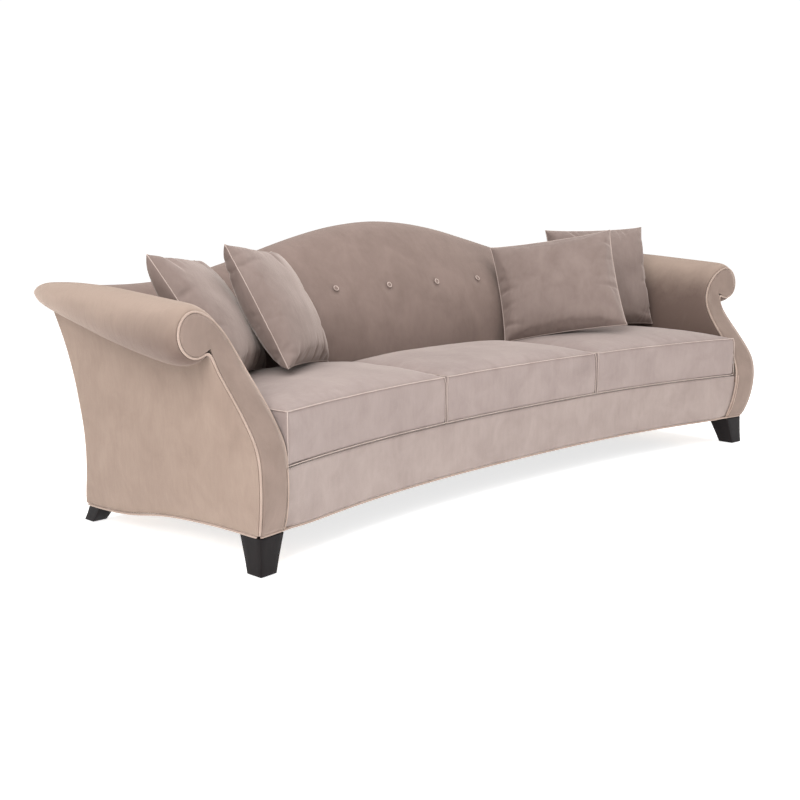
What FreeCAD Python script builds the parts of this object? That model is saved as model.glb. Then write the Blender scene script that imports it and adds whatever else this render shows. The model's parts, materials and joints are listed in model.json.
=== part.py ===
# Camelback sofa with scroll arms, a concave front, three loose seat cushions and four throw
# pillows. Each separate physical piece is one closed solid, or one group of like solids.
# All sizes are in millimetres. +Z is up, the front is towards -Y, +X is to the viewer's right.
import FreeCAD
import Part
import math
import os

V = FreeCAD.Vector

# Overall sizes. Depths are counted from the front corner of the hem, then moved by CENTRE_Y so
# that the origin lies under the middle of the sofa.
CENTRE_Y = 460.0
HEM_FRONT_Z = 117.0
HEM_REAR_Z = 61.0
HEM_DROP_START = 300.0
HEM_DROP_END = 720.0
SIDE_X = 1283.0
SIDE_BELLY_X = 1306.0
INNER_ARM_X = 1192.0
FACING_INNER_FOOT_X = 1180.0
RAIL_TOP_Z = 262.0
DECK_Z = 291.0
BACK_PEAK_Z = 917.0
BACK_LOW_Z = 733.0
BACK_HALF_SPAN = 1020.0
FRONT_SAG = 135.0
FRONT_HALF_SPAN = 1190.0
FRONT_POWER = 2.5

# Cloth, cord and board thicknesses, and the clearances between pieces.
CLOTH = 2.5
FACING_THICK = 8.0
CORD_R = 3.6
WELT_SIDES = 6
HEM_CORD_R = 3.6
SKIN_GAP = 0.5
PAD_GAP = 1.8
LOOSE_GAP = 0.6
LEAN_GAP = 4.5
BACK_LEAN_GAP = 14.0
REST_GAP = 0.4
SEAT_GAP = 0.2
REAR_SEAM_GAP = 0.6
CUSHION_GAP = 2.6
ARM_PAD = 20.0
BACK_PAD = 58.0
PAD_SETBACK = 3.0
BOARD_GAP = 4.0
BOARD_INSET = 7.5
BOARD_THICK = 25.0
RAIL_THICK = 28.0

# The scroll at the front of the arm, and how the roll swells, tapers and rises towards its end.
SCROLL_X = 1364.0
SCROLL_Z = 648.0
SCROLL_R = 67.0
CROTCH_ANGLE = -130.0
NECK_Z = 460.0
NECK_REACH = 150.0
NECK_TURN = 70.0
ROLL_END_Y = 956.0
# share of the arm's length, roll radius, height of the roll's centre
ROLL = [
    (0.0, SCROLL_R, SCROLL_Z),
    (0.012, 78.0, 648.0),
    (0.035, 85.5, 647.0),
    (0.08, 89.0, 646.0),
    (0.20, 88.5, 653.0),
    (0.46, 79.0, 678.0),
    (0.58, 70.0, 690.0),
    (0.70, 60.5, 700.0),
    (0.86, 45.0, 711.0),
    (0.92, 36.0, 714.0),
    (0.965, 25.0, 715.0),
    (1.0, 8.0, 716.0),
]
# side view of the arm's front face: height, depth
FACE_PROFILE = [
    (57.0, 4.0), (112.0, 0.0), (160.0, -18.0), (200.0, -28.0), (279.0, -35.5), (347.0, -30.0),
    (395.0, 2.0), (462.0, 57.0), (530.0, 118.0), (585.0, 151.0), (648.0, 157.0), (715.0, 160.0),
    (800.0, 160.0),
]
FACE_TURN = 0.16
# outline of the outside arm panel: height, half width
SIDE_PROFILE = [
    (112.0, SIDE_X), (160.0, 1294.0), (210.0, 1301.0), (262.0, SIDE_BELLY_X - 1.0),
    (310.0, SIDE_BELLY_X), (460.0, SIDE_BELLY_X), (530.0, 1310.0), (562.0, 1314.0),
]
# heights at which the outlines of the arm's face and of its outside panel are worked out
NECK_OUT_Z = [562.0, 530.0]
FACE_Z = [460.0, 410.0, 360.0, 310.0, 262.0, 210.0, 160.0, HEM_FRONT_Z]
REAR_NECK_Z = [620.0, 560.0]
# side view of the outside back: height, depth
OUTBACK_PROFILE = [
    (50.0, 858.0), (180.0, 812.0), (253.0, 808.0), (315.0, 815.0), (392.0, 838.0), (500.0, 868.0),
    (591.0, 893.0), (669.0, 912.0), (750.0, 928.0), (850.0, 945.0), (930.0, 957.0),
]
# half width of the inside back, which follows the arms: height, half width
BACK_END_PROFILE = [
    (50.0, 1190.0), (500.0, 1190.5), (565.0, 1200.0), (655.0, 1235.0), (700.0, 1262.0),
    (745.0, 1296.0), (760.0, 1298.0),
]
OUTBACK_CORNER = [(700.0, 1316.0), (716.0, 1294.0), (745.0, 1298.0), (760.0, 1298.0)]

# The tight inside back.
BACK_SEAT_Y = 604.0
BACK_TOP_THICK = 170.0
BACK_BEND_Z = 500.0
BACK_BEND_POWER = 1.8
BACK_SHOULDER = 50.0
BUTTON_X = [127.0, 377.0, 627.0, 877.0]
BUTTON_Z = 690.0
BUTTON_R = 13.0
BUTTON_H = 8.0
BUTTON_LIFT = 4.0

# The seat cushions.
CUSHION_SEAM_X = 411.0
CUSHION_SIDE_H = 146.0
CUSHION_CROWN = 40.0
CUSHION_ROUND = 9.0
CUSHION_OVERHANG = 6.0
CUSHION_COVER = 3.0

# The throw pillows: centre across, depth, turn, lean, roll in its own plane, width, height, fullness.
PILLOW_T = 165.0
PILLOWS = {
    "pillow_left_rear": (-1054.0, 511.0, 41.0, 34.0, -6.0, 480.0, 415.0, PILLOW_T),
    "pillow_left_front": (-782.0, 511.0, 36.3, 28.5, -5.7, 490.0, 415.0, PILLOW_T),
    "pillow_right_rear": (985.0, 522.0, -23.0, 13.3, 1.0, 470.0, 415.0, PILLOW_T),
    "pillow_right_front": (618.0, 468.0, -50.8, 23.4, 9.2, 480.0, 400.0, PILLOW_T),
}

# The legs.
GLIDE_H = 3.0
GLIDE_R = 11.0
LEG_TOP = 89.0
LEG_FOOT = 60.0
LEG_INSET = 7.0
REAR_LEG_TOP = 58.0
REAR_LEG_FOOT = 49.0
REAR_LEG_Y = 790.0
REAR_LEG_KICK = 32.0
PLATE = 2.6
LEG_DROP = 2.0 * HEM_CORD_R + 1.0
FRONT_LEG_Z = HEM_FRONT_Z - LEG_DROP
REAR_LEG_Z = HEM_REAR_Z - LEG_DROP
RAIL_BOTTOM_Z = FRONT_LEG_Z + PLATE + SEAT_GAP

# Springs, webbing and blocks.
SPRING_COUNT = 10
SPRING_SPAN = 1035.0
SPRING_R = 1.9
SPRING_WAVE = 22.0
SPRING_TURNS = 10
WEB_X = [230.0, 690.0, 920.0]
WEB_WIDTH = 60.0
WEB_THICK = 2.0
BLOCK_LEG = 90.0
UPRIGHT_X = {"inner": 460.0, "outer": 1110.0}
UPRIGHT_HALF = 25.0
UPRIGHT_THICK = 28.0

OUT = "parts"
os.makedirs(OUT, exist_ok=True)


def lerp(a, b, t):
    return a + (b - a) * t


def table(rows, x):
    """Value read from a list of (position, value) rows, straight between the rows."""
    if x <= rows[0][0]:
        return rows[0][1]
    for (x0, v0), (x1, v1) in zip(rows[:-1], rows[1:]):
        if x <= x1:
            return lerp(v0, v1, (x - x0) / (x1 - x0))
    return rows[-1][1]


def smooth(t):
    t = min(1.0, max(0.0, t))
    return t * t * (3.0 - 2.0 * t)


def hem_z(y):
    return lerp(HEM_FRONT_Z, HEM_REAR_Z, smooth((y - HEM_DROP_START) / (HEM_DROP_END - HEM_DROP_START)))


def front_y(x):
    """Depth of the concave front of the seat at a distance x from the middle."""
    return FRONT_SAG * (1.0 - min(1.0, abs(x) / FRONT_HALF_SPAN) ** FRONT_POWER)


def face_y(x, z):
    """Depth of the arm's front face."""
    return table(FACE_PROFILE, z) + FACE_TURN * (SIDE_X + 17.0 - x)


def outback_y(z):
    return table(OUTBACK_PROFILE, z)


def back_top(x):
    """Height of the camel-shaped top line."""
    ax = abs(x)
    hump = math.cos(0.5 * math.pi * min(1.0, ax / BACK_HALF_SPAN)) ** 2
    rise = 12.0 * smooth((ax - BACK_HALF_SPAN) / 180.0)
    return BACK_LOW_Z + (BACK_PEAK_Z - BACK_LOW_Z) * hump + rise


def clean(points, faces):
    """Joins equal points and leaves out faces without area."""
    index = {}
    kept = []
    remap = []
    for p in points:
        key = (round(p[0], 4), round(p[1], 4), round(p[2], 4))
        if key not in index:
            index[key] = len(kept)
            kept.append(V(key[0], key[1] - CENTRE_Y, key[2]))
        remap.append(index[key])
    out = []
    for f in faces:
        a, b, c = remap[f[0]], remap[f[1]], remap[f[2]]
        if a != b and b != c and a != c:
            out.append((a, b, c))
    return kept, out


def solid_from(points, faces):
    kept, triangles = clean(points, faces)
    shape = Part.Shape()
    shape.makeShapeFromMesh((kept, triangles), 0.001)
    solid = Part.Solid(Part.Shell(shape.Faces))
    if solid.Volume < 0:
        solid.reverse()
    return solid


def slab(front, back):
    """Closed solid between two surfaces, each given as rows of points.

    The quads are cut along mirrored diagonals on the two sides of the middle.
    """
    rows = len(front)
    cols = len(front[0])
    points = [p for row in front for p in row] + [p for row in back for p in row]
    off = rows * cols
    faces = []

    def quad(a, b, c, d):
        if points[a][0] + points[b][0] + points[c][0] + points[d][0] < 0.0:
            a, b, c, d = b, c, d, a
        faces.append((a, b, c))
        faces.append((a, c, d))

    for r in range(rows - 1):
        for c in range(cols - 1):
            k = r * cols + c
            quad(k, k + 1, k + cols + 1, k + cols)
            quad(off + k + cols, off + k + cols + 1, off + k + 1, off + k)
    for c in range(cols - 1):
        top = (rows - 1) * cols + c
        quad(c + 1, c, off + c, off + c + 1)
        quad(top, top + 1, off + top + 1, off + top)
    for r in range(rows - 1):
        k = r * cols
        e = k + cols - 1
        quad(k, k + cols, off + k + cols, off + k)
        quad(e + cols, e, off + e, off + e + cols)
    return solid_from(points, faces)


def skin_of_rings(rings):
    """Closed solid through a row of closed rings, with a flat fan on both ends."""
    n = len(rings[0])
    points = [p for ring in rings for p in ring]
    faces = []
    for r in range(len(rings) - 1):
        for k in range(n):
            a = r * n + k
            b = r * n + (k + 1) % n
            faces.append((a, b, b + n))
            faces.append((a, b + n, a + n))
    for ring_index, flip in ((0, True), (len(rings) - 1, False)):
        ring = rings[ring_index]
        centre = tuple(sum(p[i] for p in ring) / n for i in range(3))
        points.append(centre)
        mid = len(points) - 1
        for k in range(n):
            a = ring_index * n + k
            b = ring_index * n + (k + 1) % n
            faces.append((b, a, mid) if flip else (a, b, mid))
    return solid_from(points, faces)


def box(x0, x1, y0, y1, z0, z1):
    return Part.makeBox(x1 - x0, y1 - y0, z1 - z0, V(x0, y0 - CENTRE_Y, z0))


def mirrored(solid):
    twin = solid.mirror(V(0, 0, 0), V(1, 0, 0))
    if twin.Volume < 0:
        twin.reverse()
    return twin


def save(name, shape):
    if isinstance(shape, list):
        shape = Part.Compound(shape)
    shape.exportStep(os.path.join(OUT, name + ".step"))


def save_pair(name, left):
    """The pieces are worked out on the right side, so the left one is the mirror image."""
    save(name + "_right", left)
    if isinstance(left, list):
        save(name + "_left", [mirrored(s) for s in left])
    else:
        save(name + "_left", mirrored(left))


def tube(path, radius, sides, up=(0.0, 0.0, 1.0)):
    """Round cord along a path."""
    rings = []
    for i, p in enumerate(path):
        a = path[max(0, i - 1)]
        b = path[min(len(path) - 1, i + 1)]
        d = [b[k] - a[k] for k in range(3)]
        length = math.sqrt(sum(t * t for t in d))
        d = [t / length for t in d]
        side = [d[1] * up[2] - d[2] * up[1], d[2] * up[0] - d[0] * up[2], d[0] * up[1] - d[1] * up[0]]
        length = math.sqrt(sum(t * t for t in side))
        side = [t / length for t in side]
        top = [side[1] * d[2] - side[2] * d[1], side[2] * d[0] - side[0] * d[2],
               side[0] * d[1] - side[1] * d[0]]
        ring = []
        for k in range(sides):
            w = 2.0 * math.pi * (k + 0.5) / sides
            ring.append(tuple(p[m] + radius * (math.cos(w) * side[m] + math.sin(w) * top[m])
                              for m in range(3)))
        rings.append(ring)
    return skin_of_rings(rings)


# The arm. Its outline runs from the deck up the inside, over the roll and round to the crotch.
CIRCLE_ANGLES = [100.0, 75.0, 50.0, 25.0, 0.0, -25.0, -50.0, -75.0, -100.0, CROTCH_ANGLE]


def shrink(r, d):
    """Inset that a roll of radius r has room for."""
    return d * min(1.0, 0.8 * r / (CLOTH + ARM_PAD))


def on_circle(r, cz, angle):
    w = math.radians(angle)
    return (SCROLL_X + r * math.cos(w), cz + r * math.sin(w))


def neck_curve(r, cz, t):
    """Smooth line from the straight inside of the arm up to the roll."""
    end = on_circle(r, cz, CIRCLE_ANGLES[0])
    w = math.radians(CIRCLE_ANGLES[0] - 90.0)
    p = [(INNER_ARM_X, NECK_Z), (INNER_ARM_X, NECK_Z + NECK_REACH),
         (end[0] - NECK_TURN * math.cos(w), end[1] - NECK_TURN * math.sin(w)), end]
    k = [(1 - t) ** 3, 3 * t * (1 - t) ** 2, 3 * t * t * (1 - t), t ** 3]
    return (sum(k[i] * p[i][0] for i in range(4)), sum(k[i] * p[i][1] for i in range(4)))


def inset_line(line, d):
    """The line moved to its right by d, with each corner on the meeting of its two sides."""
    out = []
    for i, (x, z) in enumerate(line):
        normals = []
        for k in (max(1, i), min(len(line) - 1, i + 1)):
            (xa, za), (xb, zb) = line[k - 1], line[k]
            length = math.hypot(xb - xa, zb - za)
            normals.append(((zb - za) / length, (xa - xb) / length))
        (n0x, n0z), (n1x, n1z) = normals[0], normals[-1]
        k = d / (1.0 + n0x * n1x + n0z * n1z)
        out.append((x + k * (n0x + n1x), z + k * (n0z + n1z)))
    return out


NECK_STEPS = (0.25, 0.5, 0.75)


PAD_ANGLES = CIRCLE_ANGLES[::2] + CIRCLE_ANGLES[-1:]


def arm_outline(r, cz, d, angles):
    line = [(INNER_ARM_X, RAIL_TOP_Z), (INNER_ARM_X, 360.0), (INNER_ARM_X, NECK_Z)]
    line += [neck_curve(r, cz, t) for t in NECK_STEPS]
    line += [on_circle(r, cz, a) for a in angles]
    return inset_line(line, shrink(r, d))


INNER_COUNT = 6
ARM_REAR_GAP = 8.0


def arm_surface(d, angles, setback=0.0):
    """Rows of points over the arm, a distance d inside its outer surface."""
    front = arm_outline(SCROLL_R, SCROLL_Z, d, angles)
    rows = []
    for share, r, cz in ROLL:
        row = []
        for i, (x, z) in enumerate(arm_outline(r, cz, d, angles)):
            y0 = face_y(front[i][0], front[i][1]) + FACING_THICK + setback
            y1 = outback_y(z) - CLOTH - ARM_REAR_GAP if i < INNER_COUNT else ROLL_END_Y - d
            row.append((x, lerp(y0, y1, share), z))
        rows.append(row)
    return rows


SIDE_LAST = 0.92
SIDE_SHARES = [share / SIDE_LAST for share, r, cz in ROLL if share <= SIDE_LAST]


def side_column(u):
    """Outside arm panel from the crotch down to the hem, at a share u of its length.

    Each entry is half width, height, and the height of the same seam point on the arm's face.
    """
    r = table([(row[0], row[1]) for row in ROLL], u * SIDE_LAST)
    cz = table([(row[0], row[2]) for row in ROLL], u * SIDE_LAST)
    front_top = on_circle(SCROLL_R, SCROLL_Z, CROTCH_ANGLE)
    top = on_circle(r, cz, CROTCH_ANGLE)
    column = [(lerp(front_top[0], top[0], u) if u == 0 else top[0], top[1] - SKIN_GAP * min(1.0, 9.0 * u),
               front_top[1], front_top[0])]
    for z, rear_z in zip(NECK_OUT_Z, REAR_NECK_Z):
        x = table(SIDE_PROFILE, z)
        x_rear = table([(530.0, 1308.0), (top[1], top[0])], rear_z)
        column.append((lerp(x, x_rear, u), lerp(z, rear_z, u), z, x))
    low = hem_z(lerp(0.0, outback_y(HEM_REAR_Z), u))
    for z in FACE_Z:
        x = table(SIDE_PROFILE, z)
        zz = low + (z - HEM_FRONT_Z) * (NECK_Z - low) / (NECK_Z - HEM_FRONT_Z)
        column.append((x, zz, z, x))
    return column


def side_surface(d):
    """Rows of points over the outside arm panel, a distance d inside it."""
    rows = []
    for u in SIDE_SHARES:
        row = []
        for x, z, z_front, x_front in side_column(u):
            y0 = face_y(x_front, z_front) + FACING_THICK
            y1 = outback_y(z) - CLOTH - REAR_SEAM_GAP
            row.append((x - d, lerp(y0, y1, u), z))
        rows.append(row)
    return rows


def face_outline():
    """Outline of the arm's front face, from the inner foot over the scroll to the outer foot."""
    line = []
    for z in reversed(FACE_Z):
        x = table([(HEM_FRONT_Z, FACING_INNER_FOOT_X), (RAIL_TOP_Z, INNER_ARM_X)], z)
        line.append((x, z))
    line += [neck_curve(SCROLL_R, SCROLL_Z, t) for t in NECK_STEPS]
    line += [on_circle(SCROLL_R, SCROLL_Z, a) for a in CIRCLE_ANGLES]
    line += [(table(SIDE_PROFILE, z), z) for z in NECK_OUT_Z + FACE_Z]
    return line


def face_rows(inset, foot):
    """Strips across the arm's front: each row runs from the inner edge to the outer edge."""
    line = inset_line(face_outline(), inset)
    line[0] = (line[0][0], foot)
    line[-1] = (line[-1][0], foot)
    levels = len(FACE_Z)
    crotch = levels + len(NECK_STEPS) + len(CIRCLE_ANGLES) - 1
    outer = line[crotch:]
    rows = [(line[k], outer[-1 - k]) for k in range(levels)]
    neck_out = [outer[2], outer[1], outer[0]]
    rows += [(line[levels + k], neck_out[k]) for k in range(len(NECK_STEPS))]
    rows += [(line[k], outer[0]) for k in range(levels + len(NECK_STEPS), crotch)]
    return rows


def face_slab(inset, near, far, foot):
    """Board that follows the arm's front face, from depth near to depth far behind it."""
    front = []
    back = []
    for (x0, z0), (x1, z1) in face_rows(inset, foot):
        line = [(lerp(x0, x1, k / 2.0), lerp(z0, z1, k / 2.0)) for k in range(3)]
        front.append([(x, face_y(x, z) + near, z) for x, z in line])
        back.append([(x, face_y(x, z) + far, z) for x, z in line])
    return slab(front, back)


def facing_welt():
    """Cord round the facing, in the band between the facing's edge and the arm's outline."""
    middle = 0.5 * FACING_THICK
    near = inset_line(face_outline(), middle - CORD_R)
    core = inset_line(face_outline(), middle)
    far = inset_line(face_outline(), middle + CORD_R)
    rings = []
    for (xa, za), (xc, zc), (xb, zb) in zip(near, core, far):
        ring = []
        for k in range(WELT_SIDES):
            w = 2.0 * math.pi * (k + 0.5) / WELT_SIDES
            t = math.cos(w)
            px = lerp(xc, xb, t) if t > 0 else lerp(xc, xa, -t)
            pz = lerp(zc, zb, t) if t > 0 else lerp(zc, za, -t)
            ring.append((px, face_y(px, pz) + middle + CORD_R * math.sin(w), max(pz, HEM_FRONT_Z)))
        rings.append(ring)
    return skin_of_rings(rings)


save_pair("arm_cover", slab(arm_surface(0.0, CIRCLE_ANGLES), arm_surface(CLOTH, CIRCLE_ANGLES)))
save_pair("arm_padding", slab(arm_surface(CLOTH + PAD_GAP, PAD_ANGLES, PAD_SETBACK),
                              arm_surface(CLOTH + ARM_PAD, PAD_ANGLES, PAD_SETBACK)))
save_pair("outside_arm", slab(side_surface(0.0), side_surface(CLOTH)))
save_pair("arm_facing", face_slab(FACING_THICK, 0.0, FACING_THICK - SKIN_GAP, HEM_FRONT_Z))
save_pair("facing_welt", facing_welt())
save_pair("arm_front_board",
          face_slab(CLOTH + ARM_PAD + BOARD_INSET, FACING_THICK + BOARD_GAP,
                    FACING_THICK + BOARD_GAP + BOARD_THICK, RAIL_BOTTOM_Z))

# The rail inside the roll starts at the front board and tapers with the roll.
RAIL_SHARES = (0.04, 0.2, 0.46, 0.7, 0.86)
rings = []
for share in RAIL_SHARES:
    r = table([(row[0], row[1]) for row in ROLL], share)
    cz = table([(row[0], row[2]) for row in ROLL], share)
    rr = 0.9 * r - shrink(r, CLOTH + ARM_PAD) - 5.0
    ring = []
    for a in range(22, 382, 45):
        x = SCROLL_X + rr * math.cos(math.radians(a))
        z = cz + rr * math.sin(math.radians(a))
        y = lerp(face_y(SCROLL_X, SCROLL_Z) + FACING_THICK, ROLL_END_Y, share)
        if share == RAIL_SHARES[0]:
            y = face_y(x, z) + FACING_THICK + BOARD_GAP + BOARD_THICK + 3.0
        ring.append((x, y, z))
    rings.append(ring)
save_pair("arm_top_rail", skin_of_rings(rings))


# The back.
BACK_EDGE_DROP = 30.0
BACK_FOOT_Z = RAIL_TOP_Z + 10.0
REAR_TOP_GAP = 4.0


def back_profile(x_share, d):
    """Section of the inside back at a share of its width, a distance d inside the outer surface."""
    x = x_share * INNER_ARM_X
    zt = back_top(x) - d
    top_z = zt - BACK_SHOULDER
    edge_z = back_top(x) - BACK_EDGE_DROP
    rear_y = outback_y(edge_z) - d
    y_top = outback_y(back_top(x) - 20.0) - BACK_TOP_THICK + d
    rows = []
    for z in (BACK_FOOT_Z, 360.0, BACK_BEND_Z):
        rows.append((BACK_SEAT_Y + d, z))
    for q in (0.3, 0.55, 0.8, 1.0):
        z = lerp(BACK_BEND_Z, top_z, q)
        rows.append((lerp(BACK_SEAT_Y + d, y_top, q ** BACK_BEND_POWER), z))
    rows.append((lerp(y_top, rear_y, 0.22), zt - 15.0))
    rows.append((lerp(y_top, rear_y, 0.5), zt))
    rows.append((lerp(y_top, rear_y, 0.8), zt - 5.0))
    rows.append((rear_y, min(edge_z, zt - 7.0)))
    return rows


BACK_SHARES = [k / 9.0 - 1.0 for k in range(19)]


def back_surface(d):
    grid = []
    for share in BACK_SHARES:
        col = []
        for y, z in back_profile(share, d):
            col.append((share * (table(BACK_END_PROFILE, z)), y, z))
        grid.append(col)
    return grid


inside_back = slab(back_surface(0.0), back_surface(CLOTH))
save("inside_back_cover", inside_back)
save("back_padding", slab(back_surface(CLOTH + PAD_GAP), back_surface(CLOTH + BACK_PAD)))
back_edge = [(column[-1][0], column[-1][2]) for column in back_surface(0.0)]

# The outside back fills the opening between the two outside arm panels.
rear_column = [(x - CLOTH - REAR_SEAM_GAP, z) for x, z, z_front, x_front in side_column(1.0)]
rear_column = sorted(rear_column, key=lambda row: row[1])
rear_width = [(z, x) for x, z in rear_column[:-1]] + OUTBACK_CORNER
outer = []
inner = []
for share in BACK_SHARES:
    top = BACK_LOW_Z
    for step in range(6):
        top = table(back_edge, share * table(rear_width, top)) - REAR_TOP_GAP
    heights = [z for x, z in rear_column if z < 630.0]
    heights += [lerp(heights[-1], top, q) for q in (0.4, 0.75, 1.0)]
    outer.append([(share * table(rear_width, z), outback_y(z), z) for z in heights])
    inner.append([(share * table(rear_width, z), outback_y(z) - CLOTH, z) for z in heights])
save("outside_back_panel", slab(inner, outer))


def bar(points_a, points_b):
    """Straight bar between two four-sided ends."""
    return skin_of_rings([points_a, points_b])


# The camel-shaped rail under the top line, on four uprights that stand on the rear seat rail.
REAR_RAIL_Y = 772.0
RAIL_DROP = 105.0
RAIL_TALL = 95.0
TOP_RAIL_HALF = 1150.0
TOP_RAIL_DEEP = 40.0
TOP_RAIL_BACK = 18.0


def top_rail_section(x):
    """Front depth, rear depth, lower and upper height of the top rail."""
    z1 = back_top(x) - RAIL_DROP
    z0 = z1 - RAIL_TALL
    y1 = outback_y(z0) - TOP_RAIL_BACK
    return y1 - TOP_RAIL_DEEP, y1, z0, z1


rings = []
for k in range(-8, 9):
    x = k * TOP_RAIL_HALF / 8.0
    y0, y1, z0, z1 = top_rail_section(x)
    rings.append([(x, y0, z0), (x, y1, z0), (x, y1, z1), (x, y0, z1)])
save("back_top_rail", skin_of_rings(rings))



def top_rail_at(x):
    """The same for the finished rail, which is straight between its sections."""
    step = TOP_RAIL_HALF / 8.0
    k = min(7, int(x / step))
    a = top_rail_section(k * step)
    b = top_rail_section((k + 1) * step)
    return [lerp(p, q, x / step - k) for p, q in zip(a, b)]


for name, x in UPRIGHT_X.items():
    xa = x - UPRIGHT_HALF
    xb = x + UPRIGHT_HALF
    y0 = top_rail_at(x)[0]
    z1 = min(top_rail_at(xa)[2], top_rail_at(x)[2], top_rail_at(xb)[2]) - SEAT_GAP
    z0 = RAIL_TOP_Z + SEAT_GAP
    ya = REAR_RAIL_Y
    t = UPRIGHT_THICK
    save_pair("back_upright_" + name, bar(
        [(xa, ya, z0), (xb, ya, z0), (xb, ya + t, z0), (xa, ya + t, z0)],
        [(xa, y0, z1), (xb, y0, z1), (xb, y0 + t, z1), (xa, y0 + t, z1)]))

straps = []
w = 0.5 * WEB_WIDTH
for x in WEB_X:
    y_top = min(top_rail_at(x - w)[0], top_rail_at(x + w)[0]) - SEAT_GAP
    z_top = top_rail_at(x + w)[3] - 12.0
    y_foot = REAR_RAIL_Y - SEAT_GAP
    for s in (-1.0, 1.0):
        rings = []
        for y, z in ((y_foot, RAIL_TOP_Z - 40.0), (y_foot, RAIL_TOP_Z + SEAT_GAP), (y_top, z_top)):
            rings.append([(s * x - w, y - WEB_THICK, z), (s * x + w, y - WEB_THICK, z),
                          (s * x + w, y, z), (s * x - w, y, z)])
        straps.append(skin_of_rings(rings))
save("back_webbing", straps)

# The posts at the rear corners follow the rake of the outside back down to the rear legs.
POST_X0 = INNER_ARM_X + CLOTH + ARM_PAD + 3.0
POST_X1 = 1262.0
POST_THICK = 50.0
POST_TOP = 452.0
POST_BACK = 12.0
rings = []
for z in (REAR_LEG_Z + PLATE + SEAT_GAP, 180.0, 253.0, 315.0, 392.0, POST_TOP):
    y1 = outback_y(z) - POST_BACK
    rings.append([(POST_X0, y1 - POST_THICK, z), (POST_X1, y1 - POST_THICK, z), (POST_X1, y1, z),
                  (POST_X0, y1, z)])
save_pair("back_post", skin_of_rings(rings))


# Covered buttons in one row, each turned square to the back and seated on its cover.
def back_depth(x, z):
    """Depth of the inside back's outer surface at a place."""
    line = Part.makeLine(V(x, BACK_SEAT_Y - CENTRE_Y - 5.0, z), V(x, ROLL_END_Y - CENTRE_Y, z))
    return line.common(inside_back).BoundBox.YMin + CENTRE_Y


buttons = []
for x in BUTTON_X:
    y = back_depth(x, BUTTON_Z)
    slope_x = (back_depth(x + BUTTON_R, BUTTON_Z) - back_depth(x - BUTTON_R, BUTTON_Z)) / (2.0 * BUTTON_R)
    slope_z = (back_depth(x, BUTTON_Z + BUTTON_R) - back_depth(x, BUTTON_Z - BUTTON_R)) / (2.0 * BUTTON_R)
    length = math.sqrt(1.0 + slope_x ** 2 + slope_z ** 2)
    out = (slope_x / length, -1.0 / length, slope_z / length)
    rings = []
    for height, radius in ((0.0, BUTTON_R - 1.0), (2.5, BUTTON_R), (BUTTON_H, 0.45 * BUTTON_R)):
        ring = []
        for k in range(8):
            w = 2.0 * math.pi * k / 8.0
            u = radius * math.cos(w)
            v = radius * math.sin(w)
            h = height + BUTTON_LIFT
            ring.append((x + u + out[0] * h, y + slope_x * u + slope_z * v + out[1] * h,
                         BUTTON_Z + v + out[2] * h))
        rings.append(ring)
    button = skin_of_rings(rings)
    for step in range(3):
        down = button.distToShape(inside_back)[0] - REST_GAP
        button.translate(V(-out[0] * down, -out[1] * down, -out[2] * down))
    buttons += [button, mirrored(button)]
save("back_buttons", buttons)


# The seat base.
def border_y(x, z):
    """Depth of the front border: it follows the concave rail and turns out to meet the facings."""
    ends = smooth((abs(x) - 1080.0) / 96.0)
    meet = face_y(FACING_INNER_FOOT_X, z) + FACING_THICK - 2.0
    return front_y(x) + ends * (meet - front_y(1176.0))


BORDER_X = [-1177.0, -1150.0, -1115.0] + [k * 105.0 for k in range(-10, 11)] + [1115.0, 1150.0, 1177.0]
front = []
back = []
for x in BORDER_X:
    levels = (HEM_FRONT_Z, 160.0, 210.0, DECK_Z - 4.0)
    front.append([(x, border_y(x, z), z) for z in levels])
    back.append([(x, border_y(x, z) + CLOTH, z) for z in levels])
save("front_border", slab(front, back))

RAIL_BEHIND = 8.0
RAIL_HALF = 1172.0


def rail_y(x):
    """Depth of the front seat rail's back face."""
    return border_y(x, HEM_FRONT_Z) + RAIL_BEHIND + RAIL_THICK


near = []
far = []
for x in [-RAIL_HALF, -1115.0] + [k * 105.0 for k in range(-10, 11)] + [1115.0, RAIL_HALF]:
    near.append([(x, rail_y(x) - RAIL_THICK, RAIL_BOTTOM_Z), (x, rail_y(x) - RAIL_THICK, RAIL_TOP_Z)])
    far.append([(x, rail_y(x), RAIL_BOTTOM_Z), (x, rail_y(x), RAIL_TOP_Z)])
save("front_seat_rail", slab(near, far))

save("rear_seat_rail", box(-POST_X0 + SEAT_GAP, POST_X0 - SEAT_GAP, REAR_RAIL_Y,
                           REAR_RAIL_Y + RAIL_THICK, RAIL_BOTTOM_Z, RAIL_TOP_Z))
SIDE_RAIL_X = 1198.0
SIDE_RAIL_Y0 = (face_y(SIDE_RAIL_X, HEM_FRONT_Z) + FACING_THICK + BOARD_GAP + BOARD_THICK + 1.5)
save_pair("side_seat_rail", box(SIDE_RAIL_X, SIDE_RAIL_X + RAIL_THICK, SIDE_RAIL_Y0,
                                outback_y(253.0) - POST_BACK - POST_THICK - SEAT_GAP, RAIL_BOTTOM_Z,
                                RAIL_TOP_Z - SEAT_GAP))
STRETCHER_X = 411.0
STRETCHER_HALF = 17.0
STRETCHER_Z = 150.0
save_pair("seat_stretcher", box(STRETCHER_X - STRETCHER_HALF, STRETCHER_X + STRETCHER_HALF,
                                rail_y(STRETCHER_X - STRETCHER_HALF) + SEAT_GAP,
                                REAR_RAIL_Y - SEAT_GAP, STRETCHER_Z, STRETCHER_Z + 70.0))

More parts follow.
